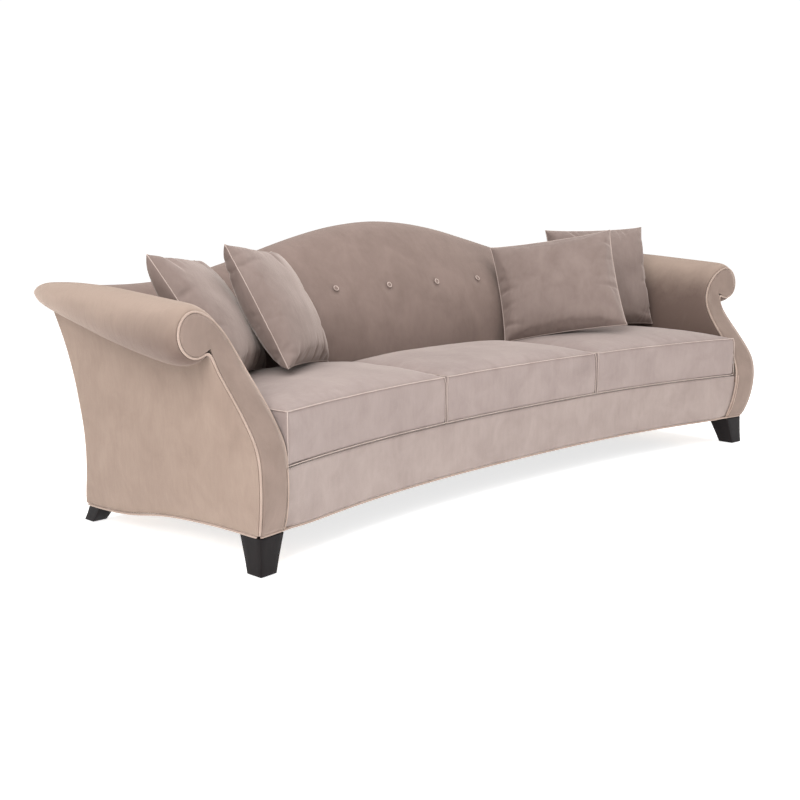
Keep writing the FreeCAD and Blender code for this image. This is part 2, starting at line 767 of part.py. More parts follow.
blocks = []
for s in (-1.0, 1.0):
    x1 = SIDE_RAIL_X - SEAT_GAP
    x0 = x1 - BLOCK_LEG
    ya = max(rail_y(x0 - 20.0), rail_y(1115.0), rail_y(RAIL_HALF)) + SEAT_GAP
    yb = REAR_RAIL_Y - SEAT_GAP
    for corner in (((x1, ya), (x0, ya), (x1, ya + BLOCK_LEG)), ((x1, yb), (x1, yb - BLOCK_LEG), (x0, yb))):
        rings = [[(s * x, y, z) for x, y in corner] for z in (RAIL_BOTTOM_Z + 2.0, RAIL_BOTTOM_Z + 62.0)]
        blocks.append(skin_of_rings(rings))
save("corner_blocks", blocks)

springs = []
clips = []
wire_z = RAIL_TOP_Z + 3.0 + SPRING_R
for n in range(SPRING_COUNT):
    cx = lerp(-SPRING_SPAN, SPRING_SPAN, n / (SPRING_COUNT - 1.0))
    ya = rail_y(cx) - 0.5 * RAIL_THICK
    yb = REAR_RAIL_Y + 14.0
    path = []
    for k in range(SPRING_TURNS + 1):
        side = 0.0 if k in (0, SPRING_TURNS) else (1.0 if k % 2 else -1.0)
        path.append((cx + side * SPRING_WAVE, lerp(ya, yb, k / float(SPRING_TURNS)), wire_z))
    springs.append(tube(path, SPRING_R, 4))
    for y in (ya, yb):
        clips.append(box(cx - 9.0, cx + 9.0, y - 8.0, y + 8.0, RAIL_TOP_Z + 0.1, RAIL_TOP_Z + 2.8))
save("seat_springs", springs)
save("spring_clips", clips)


def deck_sheet(z0, z1, reach, half, rear):
    """Flat sheet over the seat that follows the concave front."""
    low = []
    high = []
    for k in range(-6, 7):
        x = k * half / 6.0
        ya = front_y(x) + reach
        low.append([(x, ya, z0), (x, rear, z0)])
        high.append([(x, ya, z1), (x, rear, z1)])
    return slab(low, high)


DECK_HALF = INNER_ARM_X - 2.0
save("deck_pad", deck_sheet(RAIL_TOP_Z + 9.0, DECK_Z - CLOTH - 0.4, 8.0, DECK_HALF, BACK_SEAT_Y - 0.5))
save("deck_cover", deck_sheet(DECK_Z - CLOTH, DECK_Z, 4.0, DECK_HALF, BACK_SEAT_Y - 0.5))
DUST_HALF = 1090.0
save("dust_cover", deck_sheet(RAIL_BOTTOM_Z - 1.7, RAIL_BOTTOM_Z - SEAT_GAP, 13.0, DUST_HALF,
                              REAR_RAIL_Y + 20.0))

# Cords along the hem, just under the cloth. They stand clear of each other at the corners.
cord_drop = HEM_CORD_R + 0.4
cord_corner = 6.0
path = []
for x in (SIDE_X - cord_corner, 1250.0, 1215.0, FACING_INNER_FOOT_X + 2.0):
    path.append((x, face_y(x, HEM_FRONT_Z) + 4.0, HEM_FRONT_Z - cord_drop))
for x in (1150.0, 1115.0):
    path.append((x, border_y(x, HEM_FRONT_Z) + 2.0, HEM_FRONT_Z - cord_drop))
half_path = list(path)
for k in range(10, -11, -1):
    x = k * 105.0
    path.append((x, border_y(x, HEM_FRONT_Z) + 2.0, HEM_FRONT_Z - cord_drop))
path += [(-x, y, z) for x, y, z in reversed(half_path)]
save("hem_welt_front", tube(path, HEM_CORD_R, 6))

lower_edge = [row[-1] for row in side_surface(0.5 * CLOTH)]
path = []
for i, (x, y, z) in enumerate(lower_edge):
    if i == 0:
        y = face_y(x, z) + FACING_THICK + cord_corner
    if i == len(lower_edge) - 1:
        y -= 2.0 * HEM_CORD_R
    if i != 1:
        path.append((x, y, z - cord_drop))
save_pair("hem_welt", tube(path, HEM_CORD_R, 6))
rear_y = outback_y(HEM_REAR_Z) - 0.5 * CLOTH
rear_x = SIDE_X - CLOTH - REAR_SEAM_GAP - HEM_CORD_R
save("hem_welt_rear", tube([(x, rear_y, HEM_REAR_Z - cord_drop)
                            for x in (-rear_x, 0.0, rear_x)], HEM_CORD_R, 6))

# The legs. The front pair is square and tapers on its inner faces; the rear pair is short and raked.
def leg_ring(x_out, y_near, size, z, turn):
    x_in = x_out - size
    return [(x_in, y_near + turn * size, z), (x_out, y_near, z), (x_out, y_near + size, z),
            (x_in, y_near + size + turn * size, z)]


rings = []
for q in (0.0, 0.25, 0.5, 0.75, 1.0):
    z = lerp(GLIDE_H, FRONT_LEG_Z, q)
    size = lerp(LEG_FOOT, LEG_TOP, q ** 1.15)
    out = lerp(SIDE_X - 2.0, SIDE_X - LEG_INSET, q ** 0.6)
    rings.append(leg_ring(out, SIDE_X - out, size, z, 0.1))
save_pair("front_leg", skin_of_rings(rings))

rings = []
for q in (0.0, 0.35, 0.7, 1.0):
    z = lerp(GLIDE_H, REAR_LEG_Z, q)
    size = lerp(REAR_LEG_FOOT, REAR_LEG_TOP, q)
    out = lerp(SIDE_X - 2.0, SIDE_X - LEG_INSET - 1.0, q)
    rings.append(leg_ring(out, lerp(REAR_LEG_Y + REAR_LEG_KICK, REAR_LEG_Y, q ** 0.8), size, z, 0.0))
save_pair("rear_leg", skin_of_rings(rings))

plates = []
glides = []
for s in (-1.0, 1.0):
    for cx, cy, half, z in ((SIDE_X - LEG_INSET - 46.0, 56.0, 34.0, FRONT_LEG_Z),
                            (SIDE_X - LEG_INSET - 34.0, REAR_LEG_Y + 29.0, 22.0, REAR_LEG_Z)):
        plates.append(box(s * cx - half, s * cx + half, cy - half, cy + half, z + 0.1, z + PLATE + 0.1))
    for cx, cy in ((SIDE_X - 2.0 - 0.5 * LEG_FOOT, 0.5 * LEG_FOOT + 5.0),
                   (SIDE_X - 2.0 - 0.5 * REAR_LEG_FOOT, REAR_LEG_Y + REAR_LEG_KICK + 0.5 * REAR_LEG_FOOT)):
        rings = [[(s * cx + GLIDE_R * math.cos(math.radians(a)), cy + GLIDE_R * math.sin(math.radians(a)), z)
                  for a in range(0, 360, 36)] for z in (0.0, GLIDE_H - 0.1)]
        glides.append(skin_of_rings(rings))
save("leg_plates", plates)
save("leg_glides", glides)


# The seat cushions: boxed, with a crowned top, and a front that follows the concave rail.
CROWN_STEPS = [0.0, 0.07, 0.25, 0.5, 0.75, 0.93, 1.0]
CORE_STEPS = [0.0, 0.16, 0.5, 0.84, 1.0]


def crown_height(u, v):
    """Share of the crown at a place on the cushion's top."""
    return (1.0 - abs(2.0 * u - 1.0) ** 3.0) ** 0.75 * (1.0 - abs(2.0 * v - 1.0) ** 3.0) ** 0.75


def cushion(x0, x1, inset, steps):
    z0 = DECK_Z + LOOSE_GAP + inset
    z1 = DECK_Z + LOOSE_GAP + CUSHION_SIDE_H - inset
    y_rear = BACK_SEAT_Y - CUSHION_GAP - inset

    def place(u, v, pull):
        x = lerp(x0 + inset + pull, x1 - inset - pull, u)
        ya = front_y(x) - CUSHION_OVERHANG + inset + pull
        return x, lerp(ya, y_rear - pull, v)

    def plane(pull, height):
        rows = []
        for u in steps:
            rows.append([place(u, v, pull) + (height(u, v),) for v in steps])
        return rows

    n = len(steps)
    edge = [(i, 0) for i in range(n)] + [(n - 1, j) for j in range(1, n)]
    edge += [(i, n - 1) for i in range(n - 2, -1, -1)] + [(0, j) for j in range(n - 2, 0, -1)]
    low = plane(CUSHION_ROUND, lambda u, v: z0)
    high = plane(CUSHION_ROUND * 0.7, lambda u, v: z1 + CUSHION_CROWN * crown_height(u, v))
    mid_low = plane(0.0, lambda u, v: z0 + CUSHION_ROUND)
    mid_high = plane(0.0, lambda u, v: z1 - CUSHION_ROUND)
    points = []
    faces = []

    def add(rows):
        start = len(points)
        points.extend(p for row in rows for p in row)
        return start

    a = add(low)
    b = add(high)
    for i in range(n - 1):
        for j in range(n - 1):
            k = i * n + j
            faces.append((a + k, a + k + 1, a + k + n + 1))
            faces.append((a + k, a + k + n + 1, a + k + n))
            faces.append((b + k, b + k + n + 1, b + k + 1))
            faces.append((b + k, b + k + n, b + k + n + 1))
    c = add(mid_low)
    d = add(mid_high)
    levels = [a, c, d, b]
    for lower, upper in zip(levels[:-1], levels[1:]):
        for m in range(len(edge)):
            i, j = edge[m]
            p, q = edge[(m + 1) % len(edge)]
            k = i * n + j
            t = p * n + q
            faces.append((lower + k, lower + t, upper + t))
            faces.append((lower + k, upper + t, upper + k))
    return points, faces


def used_solid(points, faces):
    used = sorted(set(k for f in faces for k in f))
    order = {k: i for i, k in enumerate(used)}
    return solid_from([points[k] for k in used], [tuple(order[k] for k in f) for f in faces])


HALF_GAP = 0.5 * CUSHION_GAP
CUSHION_ENDS = {
    "left": (-(INNER_ARM_X - CUSHION_GAP), -CUSHION_SEAM_X - HALF_GAP),
    "middle": (-CUSHION_SEAM_X + HALF_GAP, CUSHION_SEAM_X - HALF_GAP),
    "right": (CUSHION_SEAM_X + HALF_GAP, INNER_ARM_X - CUSHION_GAP),
}
cushions = {}
for name, (x0, x1) in CUSHION_ENDS.items():
    whole = used_solid(*cushion(x0, x1, 0.0, CROWN_STEPS))
    room = used_solid(*cushion(x0, x1, CUSHION_COVER, CORE_STEPS))
    core = used_solid(*cushion(x0, x1, CUSHION_COVER + 0.3, CORE_STEPS))
    cushions[name] = whole
    save("seat_cushion_" + name, whole.cut(room))
    save("cushion_core_" + name, core)


def cushion_top(x, y):
    """Highest a cushion can be under a place, or nothing when no cushion is there."""
    for x0, x1 in CUSHION_ENDS.values():
        if x0 <= x <= x1:
            u = (x - x0) / (x1 - x0)
            ya = front_y(x) - CUSHION_OVERHANG
            v = (y - ya) / (BACK_SEAT_Y - CUSHION_GAP - ya)
            if 0.0 <= v <= 1.0:
                top = DECK_Z + LOOSE_GAP + CUSHION_SIDE_H + CUSHION_CROWN * crown_height(u, v)
                return top
    return None


# The throw pillows: soft square pads with pulled-in sides, standing on the seat cushions.
PAD_STEPS = [-1.0, -0.86, -0.62, -0.32, 0.0, 0.32, 0.62, 0.86, 1.0]
RIM = 3.0
WAIST = 0.06


def inside_back_y(x, z):
    """Depth of the inside back at a place, or far behind where the place is above its top."""
    if abs(x) > INNER_ARM_X or z > back_top(x):
        return ROLL_END_Y
    section = back_profile(x / INNER_ARM_X, 0.0)[:9]
    return table([(height, depth) for depth, height in section], z)


def pillow(name):
    cx, cy, turn, lean, roll, width, height, full = PILLOWS[name]
    a, b, g = math.radians(turn), math.radians(lean), math.radians(roll)
    across = (math.cos(a), math.sin(a), 0.0)
    facing = (math.sin(a), -math.cos(a), 0.0)
    up = tuple(-facing[i] * math.sin(b) + (math.cos(b) if i == 2 else 0.0) for i in range(3))
    normal = tuple(facing[i] * math.cos(b) + (math.sin(b) if i == 2 else 0.0) for i in range(3))
    right = tuple(math.cos(g) * across[i] + math.sin(g) * up[i] for i in range(3))
    top = tuple(-math.sin(g) * across[i] + math.cos(g) * up[i] for i in range(3))

    def sheet(side):
        rows = []
        for u in PAD_STEPS:
            row = []
            for v in PAD_STEPS:
                p = 0.5 * width * u * (1.0 - WAIST * (1.0 - v * v))
                waist = WAIST if v > 0.0 else 0.0
                q = 0.5 * height * v * (1.0 - waist * (1.0 - u * u))
                swell = ((1.0 - u * u) * (1.0 - v * v)) ** 0.55
                h = side * (0.5 * RIM + (0.5 * full - 0.5 * RIM) * swell)
                row.append([cx * (i == 0) + cy * (i == 1) + p * right[i] + q * top[i] + h * normal[i]
                            for i in range(3)])
            rows.append(row)
        return rows

    front = sheet(1.0)
    back = sheet(-1.0)
    drop = None
    for row in front + back:
        for p in row:
            rest = cushion_top(p[0], p[1])
            if rest is not None:
                need = rest + LOOSE_GAP + 1.5 - p[2]
                drop = need if drop is None else max(drop, need)
    for row in front + back:
        for p in row:
            p[2] += drop
    push_x = 0.0
    push_y = 0.0
    for row in front + back:
        for p in row:
            if p[2] < BACK_PEAK_Z:
                beyond = p[1] - inside_back_y(p[0], p[2]) + BACK_LEAN_GAP
                push_y = max(push_y, beyond)
                push_x = max(push_x, abs(p[0]) - table(BACK_END_PROFILE, p[2]) + LEAN_GAP
                             if p[2] < SCROLL_Z else 0.0)
    for row in front + back:
        for p in row:
            p[0] -= math.copysign(push_x, cx)
            p[1] -= push_y
    pad = slab([[tuple(p) for p in row] for row in front], [[tuple(p) for p in row] for row in back])
    seat = cushions["left" if cx < 0.0 else "right"]
    for step in range(3):
        pad.translate(V(0, 0, REST_GAP - pad.distToShape(seat)[0]))
    return pad


for name in PILLOWS:
    save(name, pillow(name))
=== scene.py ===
# %% [markdown]
# # A camelback sofa in taupe velvet
# The real sofa is a hardwood frame, padded and covered in short-pile velvet. Its covers are cut
# panels, sewn together with thin welts, which are cords wrapped in the same cloth.
# The CAD part already holds every panel at its true place. So this lesson rounds copies of those
# panels, sews the welts on, and fills the loose cushions and pillows with a cloth simulation.

# %% Load the CAD part as the frame
import json
import math

import bpy
import numpy as np
from mathutils import Matrix, Vector, noise


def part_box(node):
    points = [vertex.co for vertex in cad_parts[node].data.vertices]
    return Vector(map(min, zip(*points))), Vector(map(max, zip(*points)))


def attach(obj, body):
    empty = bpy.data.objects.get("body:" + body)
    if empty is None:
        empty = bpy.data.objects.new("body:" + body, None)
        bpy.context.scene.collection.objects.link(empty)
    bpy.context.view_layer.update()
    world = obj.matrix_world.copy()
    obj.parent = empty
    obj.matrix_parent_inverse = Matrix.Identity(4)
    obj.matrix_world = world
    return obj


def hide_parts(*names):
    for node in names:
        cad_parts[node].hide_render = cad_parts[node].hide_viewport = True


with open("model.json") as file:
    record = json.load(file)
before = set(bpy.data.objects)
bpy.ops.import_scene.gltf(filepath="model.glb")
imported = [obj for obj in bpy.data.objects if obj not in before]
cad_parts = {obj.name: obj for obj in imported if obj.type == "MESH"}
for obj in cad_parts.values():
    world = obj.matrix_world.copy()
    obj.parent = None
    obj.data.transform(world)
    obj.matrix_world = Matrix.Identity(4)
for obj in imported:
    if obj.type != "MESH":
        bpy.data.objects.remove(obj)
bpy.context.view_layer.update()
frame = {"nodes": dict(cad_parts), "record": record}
nodes = frame["nodes"]

# %% [markdown]
# ## The camera
# The photograph was taken from the left, about a metre above the floor, with a short telephoto
# lens. A camera fitted to the corners of the sofa gave the place and the angles below.
# Typing them in is better than aiming by eye, because every edge then falls where it should.

# %% Place the camera
CAMERA_PLACE = (-3.2543, -2.8844, 1.0038)
CAMERA_YAW = 45.8985
CAMERA_PITCH = -9.5014
SENSOR_WIDTH = 36.0
LENS_LENGTH = 54.65
bpy.ops.object.camera_add(location=CAMERA_PLACE)
camera = bpy.context.object
camera.name = "photo_camera"
camera.rotation_euler = (math.radians(90.0 + CAMERA_PITCH), 0.0, math.radians(-CAMERA_YAW))
camera.data.sensor_width = SENSOR_WIDTH
camera.data.lens = LENS_LENGTH
bpy.context.scene.camera = camera
print("camera at", CAMERA_PLACE, "with a lens of", LENS_LENGTH, "mm")

# %% [markdown]
# ## The studio
# The real picture has a white sweep and large soft lamps, so its shadows have no hard edge.
# One wide lamp stands at the left front, a larger one hangs above, and one fills from the right.
# The world gives a soft white light from all round. What the camera sees behind the sofa is a
# brighter white, which could be painted in afterwards, but a second background needs no retouching.

# %% Lay the floor and hang the lamps
FLOOR_SIZE = 60.0
bpy.ops.object.select_all(action="DESELECT")
bpy.ops.mesh.primitive_grid_add(x_subdivisions=4, y_subdivisions=4, size=FLOOR_SIZE)
floor = bpy.context.object
floor.name = "studio_floor"
# each lamp's name, place, aim, width in metres and power in watts
LAMPS = [
    ("key_lamp", (-4.6, -2.2, 3.4), (0.0, 0.0, 0.4), 3.0, 255.0),
    ("top_lamp", (0.0, -0.6, 5.0), (0.0, -0.2, 0.0), 7.0, 330.0),
    ("fill_lamp", (3.4, -4.6, 2.6), (0.4, 0.0, 0.4), 4.5, 45.0),
]
for lamp_name, lamp_place, lamp_aim, lamp_size, lamp_watts in LAMPS:
    bpy.ops.object.light_add(type="AREA", location=lamp_place)
    lamp = bpy.context.object
    lamp.name = lamp_name
    lamp.data.size = lamp_size
    lamp.data.energy = lamp_watts
    aim = Vector(lamp_aim) - Vector(lamp_place)
    lamp.rotation_euler = aim.to_track_quat("-Z", "Y").to_euler()
print("lamps:", len(LAMPS))

# %% [markdown]
# ## The white world
# A real sweep is lit so strongly that it turns pure white. Here the world has two backgrounds:
# one lights the sofa, and the other is only seen by the camera. The standard view keeps white
# white, where a film-like one would grey it.

# %% Whiten the world
WHITE = (1.0, 1.0, 1.0, 1.0)
SKY_STRENGTH = 0.34
BACKDROP_STRENGTH = 1.05
world = bpy.data.worlds.new("white_studio")
bpy.context.scene.world = world
world.use_nodes = True
tree = world.node_tree
sky = tree.nodes["Background"]
sky.inputs["Color"].default_value = WHITE
sky.inputs["Strength"].default_value = SKY_STRENGTH
backdrop = tree.nodes.new("ShaderNodeBackground")
backdrop.inputs["Color"].default_value = WHITE
backdrop.inputs["Strength"].default_value = BACKDROP_STRENGTH
seen = tree.nodes.new("ShaderNodeLightPath")
either = tree.nodes.new("ShaderNodeMixShader")
tree.links.new(seen.outputs["Is Camera Ray"], either.inputs["Fac"])
tree.links.new(sky.outputs["Background"], either.inputs[1])
tree.links.new(backdrop.outputs["Background"], either.inputs[2])
tree.links.new(either.outputs["Shader"], tree.nodes["World Output"].inputs["Surface"])
bpy.context.scene.view_settings.view_transform = "Standard"
print("world light", SKY_STRENGTH, "and backdrop", BACKDROP_STRENGTH)

# %% [markdown]
# ## A maker's few tools
# Operators act on whatever is selected, so each piece is picked alone before it is worked on.
# Modifiers are applied at once, so that the part is left as plain meshes.

# %% Tools for picking, finishing and hanging a piece
def pick(piece):
    """Leave one piece selected and active."""
    bpy.ops.object.select_all(action="DESELECT")
    piece.select_set(True)
    bpy.context.view_layer.objects.active = piece


def finish(piece, kind, **settings):
    """Add one modifier and apply it."""
    pick(piece)
    step = piece.modifiers.new(kind.lower(), kind)
    for name, value in settings.items():
        setattr(step, name, value)
    bpy.ops.object.modifier_apply(modifier=step.name)


def points_of(piece):
    """The places of a piece's points as rows of x, y, z."""
    spots = np.empty(len(piece.data.vertices) * 3)
    piece.data.vertices.foreach_get("co", spots)
    return spots.reshape(-1, 3)


def move_points(piece, spots):
    """Put a piece's points at new places."""
    piece.data.vertices.foreach_set("co", np.asarray(spots, dtype=np.float32).ravel())
    piece.data.update()


def normals_of(piece):
    """The outward direction at each point."""
    ways = np.empty(len(piece.data.vertices) * 3)
    piece.data.vertices.foreach_get("normal", ways)
    return ways.reshape(-1, 3)


def hang(piece, body, slot, material, *stands_for):
    """Join a finished piece to its body, its finish and the CAD nodes that it stands for."""
    piece.data.materials.clear()
    piece.data.materials.append(material)
    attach(piece, body)
    if stands_for:
        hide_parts(*stands_for)


print("tools for pieces are ready")

# %% [markdown]
# ## Colours and nodes
# A cloth's colour is easiest to note as the hex code that a screen shows, but a shader reckons in
# linear light. So one function turns each code, and all colours can stay hex codes in the text.
# A second function adds a node with its settings and links, and every finish is built from it.

# %% Tools for colours and nodes
def linear(code):
    """An sRGB hex colour as the linear colour that the shader needs."""
    parts = [int(code[k:k + 2], 16) / 255.0 for k in (0, 2, 4)]
    bent = [c / 12.92 if c <= 0.04045 else ((c + 0.055) / 1.055) ** 2.4 for c in parts]
    return (bent[0], bent[1], bent[2], 1.0)


def add_node(material, kind, settings, links):
    """Add one node with its settings and the links into it."""
    node = material.node_tree.nodes.new(kind)
    for name, value in settings.items():
        if isinstance(name, int) or name in node.inputs:
            node.inputs[name].default_value = value
        else:
            setattr(node, name, value)
    for name, source in links.items():
        material.node_tree.links.new(source, node.inputs[name])
    return node


def new_finish(name):
    """An empty material with its principled shader and the object's own coordinates."""
    material = bpy.data.materials.new(name)
    material.use_nodes = True
    shader = material.node_tree.nodes["Principled BSDF"]
    place = add_node(material, "ShaderNodeTexCoord", {}, {})
    return material, shader, place.outputs["Object"]


def two_tones(material, factor, low, high, low_at=0.3, high_at=0.7):
    """Turn a grey pattern into a run between two colours."""
    ramp = add_node(material, "ShaderNodeValToRGB", {}, {"Fac": factor})
    ramp.color_ramp.elements[0].position = low_at
    ramp.color_ramp.elements[0].color = linear(low)
    ramp.color_ramp.elements[1].position = high_at
    ramp.color_ramp.elements[1].color = linear(high)
    return ramp.outputs["Color"]


print("tools for finishes are ready")

# %% [markdown]
# ## Velvet
# The real cloth is a short-pile polyester velvet, woven double and cut apart, so its fibres stand
# upright. They catch light at grazing angles: edges and roll tops glow, while surfaces seen
# straight on look deeper. The principled shader's sheen gives that glow.
# Cloudy noise stands for the nap, which lies a little differently wherever a hand has brushed it.
# Each cover also gets its own tone, paler where it is lit and deeper where it is in shade:
# painted light and shade, on top of the nap running another way on each cut panel.

# %% Mix a velvet
# a brushed patch is about a hand wide, and a mark in it about a finger wide
NAP_PATCH = 0.11
BRUSH_MARK = 0.018
MARK_STRETCH = (1.0, 1.0, 0.35)
# real fibres are near 0.05 mm, too fine to show, so the grain is drawn as tufts of 2.2 mm
PILE_GRAIN = 0.0022
MARK_SHARE = 0.35
PILE_SHARE = 0.22
TONE_RANGE = (0.45, 1.12)
# painted shade low on a cover and painted light high on it, mixed into the tone by height
PAINTED_SHADE_RANGE = (0.24, 0.92)
PAINTED_SHADE_SHARE = 0.25


def velvet(name, deep, light, glow, sheen, fade=None):
    """Short-pile velvet: cloudy nap, brushed marks and a fine pile.

    A fade gives the heights between which the tone turns from painted shade below to painted light
    above.
    """
    cloth, shader, spot = new_finish(name)
    nap = add_node(cloth, "ShaderNodeTexNoise",
                   {"Scale": 1.0 / NAP_PATCH, "Detail": 3.0, "Roughness": 0.55, "Distortion": 0.6},
                   {"Vector": spot})
    stretch = add_node(cloth, "ShaderNodeMapping", {"Scale": MARK_STRETCH}, {"Vector": spot})
    marks = add_node(cloth, "ShaderNodeTexNoise",
                     {"Scale": 1.0 / BRUSH_MARK, "Detail": 2.0, "Distortion": 0.4},
                     {"Vector": stretch.outputs["Vector"]})
    pile = add_node(cloth, "ShaderNodeTexNoise",
                    {"Scale": 1.0 / PILE_GRAIN, "Detail": 1.0, "Roughness": 0.6}, {"Vector": spot})
    mixed = add_node(cloth, "ShaderNodeMath", {"operation": "MULTIPLY_ADD", 1: MARK_SHARE},
                     {0: marks.outputs["Fac"], 2: nap.outputs["Fac"]})
    grained = add_node(cloth, "ShaderNodeMath", {"operation": "MULTIPLY_ADD", 1: PILE_SHARE},
                       {0: pile.outputs["Fac"], 2: mixed.outputs["Value"]})
    tone_from = grained.outputs["Value"]
    # painted light and shade: the tone is deeper low on the cover and paler high on it
    if fade:
        axes = add_node(cloth, "ShaderNodeSeparateXYZ", {}, {"Vector": spot})
        rise = add_node(cloth, "ShaderNodeMapRange", {"From Min": fade[0], "From Max": fade[1],
                                                      "To Min": PAINTED_SHADE_RANGE[0],
                                                      "To Max": PAINTED_SHADE_RANGE[1],
                                                      "interpolation_type": "SMOOTHSTEP"},
                        {"Value": axes.outputs["Z"]})
        shaded_by_height = add_node(cloth, "ShaderNodeMath", {"operation": "MULTIPLY_ADD", 1: PAINTED_SHADE_SHARE},
                         {0: grained.outputs["Value"], 2: rise.outputs["Result"]})
        tone_from = shaded_by_height.outputs["Value"]
    tone = two_tones(cloth, tone_from, deep, light, *TONE_RANGE)
    bump = add_node(cloth, "ShaderNodeBump", {"Strength": 0.35, "Distance": 0.0009},
                    {"Height": pile.outputs["Fac"]})
    soft = add_node(cloth, "ShaderNodeBump", {"Strength": 0.3, "Distance": 0.0025},
                    {"Height": marks.outputs["Fac"], "Normal": bump.outputs["Normal"]})
    cloth.node_tree.links.new(tone, shader.inputs["Base Color"])
    cloth.node_tree.links.new(soft.outputs["Normal"], shader.inputs["Normal"])
    shader.inputs["Roughness"].default_value = 0.85
    shader.inputs["IOR"].default_value = 1.45
    shader.inputs["Specular IOR Level"].default_value = 0.25
    shader.inputs["Sheen Weight"].default_value = sheen
    shader.inputs["Sheen Roughness"].default_value = 0.42
    shader.inputs["Sheen Tint"].default_value = linear(glow)
    return cloth


# the outside of the arms and back: nap brushed down, a warm middle taupe
taupe_velvet = velvet("taupe_velvet", "7E6C61", "8C7A6E", "EBD9CC", 0.5)
# the arm facings: a shade deeper than the panels beside them, darkened as painted shade
shaded_facing_velvet = velvet("shaded_facing_velvet", "73635A", "817067", "EBD9CC", 0.45)
# the front border: paler and cooler, lightened as painted light where its nap lies towards the light
lit_border_velvet = velvet("lit_border_velvet", "837570", "948680", "F0E4DE", 0.55)
# the arm covers: painted shade down in the seat's corner, painted light on top of the roll
ROLL_LIGHT_AND_SHADE_HEIGHTS = (0.58, 0.775)
lit_and_shaded_arm_velvet = velvet("lit_and_shaded_arm_velvet", "5E4E47", "917F73", "EBD9CC", 0.42, ROLL_LIGHT_AND_SHADE_HEIGHTS)
# the inside back: the deepest of the wide covers, darkened as painted shade, nap away from the light
shaded_back_velvet = velvet("shaded_back_velvet", "6E5E57", "7B6A63", "E6D6CB", 0.45)
# the seat cushions: the palest cloth, lightened as painted light on their tops, with a soft sheen glow
# on their crowns
lit_cushion_velvet = velvet("lit_cushion_velvet", "81736F", "90827D", "EEE2DC", 0.55)
# the pillows: a greyer taupe, darkened as painted shade, which sets them off from the back
shaded_pillow_velvet = velvet("shaded_pillow_velvet", "70615B", "7F706A", "EADCD4", 0.5)
# the seams and button rims: lightened as a painted highlight, the bright line of open pile on a tight
# bend
highlight_seam_velvet = velvet("highlight_seam_velvet", "A29089", "B3A39B", "F4E8E0", 0.55)
# the welts: the same cloth round a cord, lightened as a painted highlight a little less bright than a
# seam
highlight_welt_velvet = velvet("highlight_welt_velvet", "8E7B70", "A08D82", "FFF0E4", 0.55)
print("velvets:", [m.name for m in bpy.data.materials if m.name.endswith("velvet")])

# %% [markdown]
# ## Stained wood, steel and the plain cloths
# The feet are hardwood under a dark espresso stain with a satin lacquer, so the grain is only
# just seen and the edges carry a soft highlight. The parts inside the sofa keep raw finishes.
# Wood needs a pattern stretched along its grain, woven cloth needs crossing threads, and the rest
# needs no more than a fine mottle. So three functions are enough for all of them.

# %% Mix wood, plain and woven finishes
def grained_wood(name, dark, light, rough, ring, coat):
    """Wood with its grain along the height of the piece."""
    wood, shader, spot = new_finish(name)
    along = add_node(wood, "ShaderNodeMapping", {"Scale": (1.0, 1.0, 0.12)}, {"Vector": spot})
    grain = add_node(wood, "ShaderNodeTexNoise",
                     {"Scale": 1.0 / ring, "Detail": 5.0, "Roughness": 0.65, "Distortion": 1.2},
                     {"Vector": along.outputs["Vector"]})
    tone = two_tones(wood, grain.outputs["Fac"], dark, light, 0.32, 0.72)
    pores = add_node(wood, "ShaderNodeBump", {"Strength": 0.25, "Distance": 0.0005},
                     {"Height": grain.outputs["Fac"]})
    wood.node_tree.links.new(tone, shader.inputs["Base Color"])
    wood.node_tree.links.new(pores.outputs["Normal"], shader.inputs["Normal"])
    shader.inputs["Roughness"].default_value = rough
    shader.inputs["Specular IOR Level"].default_value = 0.12
    shader.inputs["Coat Weight"].default_value = coat
    shader.inputs["Coat Roughness"].default_value = 0.25
    return wood


def plain_finish(name, dark, light, size, rough, metal=0.0, depth=0.0004):
    """A finish with a fine even mottle, for metal, foam, felt and plain cloth."""
    finish_made, shader, spot = new_finish(name)
    mottle = add_node(finish_made, "ShaderNodeTexNoise",
                      {"Scale": 1.0 / size, "Detail": 4.0, "Roughness": 0.6}, {"Vector": spot})
    tone = two_tones(finish_made, mottle.outputs["Fac"], dark, light)
    bump = add_node(finish_made, "ShaderNodeBump", {"Strength": 0.4, "Distance": depth},
                    {"Height": mottle.outputs["Fac"]})
    finish_made.node_tree.links.new(tone, shader.inputs["Base Color"])
    finish_made.node_tree.links.new(bump.outputs["Normal"], shader.inputs["Normal"])
    shader.inputs["Roughness"].default_value = rough
    shader.inputs["Metallic"].default_value = metal
    return finish_made


# a wave texture of scale 1 repeats every 0.314 m
WAVE_REPEAT = 0.314


def woven_finish(name, dark, light, thread, rough):
    """A plain weave: two sets of threads that cross, a thread's spacing apart."""
    cloth, shader, spot = new_finish(name)
    heights = []
    for way in ("X", "Y"):
        heights.append(add_node(cloth, "ShaderNodeTexWave",
                                {"Scale": WAVE_REPEAT / thread, "Distortion": 0.4,
                                 "bands_direction": way}, {"Vector": spot}))
    cross = add_node(cloth, "ShaderNodeMath", {"operation": "MAXIMUM"},
                     {0: heights[0].outputs["Fac"], 1: heights[1].outputs["Fac"]})
    tone = two_tones(cloth, cross.outputs["Value"], dark, light, 0.2, 0.9)
    bump = add_node(cloth, "ShaderNodeBump", {"Strength": 0.5, "Distance": 0.0006},
                    {"Height": cross.outputs["Value"]})
    cloth.node_tree.links.new(tone, shader.inputs["Base Color"])
    cloth.node_tree.links.new(bump.outputs["Normal"], shader.inputs["Normal"])
    shader.inputs["Roughness"].default_value = rough
    return cloth


print("recipes for wood, plain and woven finishes are ready")

# %% [markdown]
# ## The finishes inside and below
# Most of these pieces are hidden, but someone may take the sofa apart on screen. Each one has the
# finish of the real trade material, so a spring isn't mistaken for a strap.

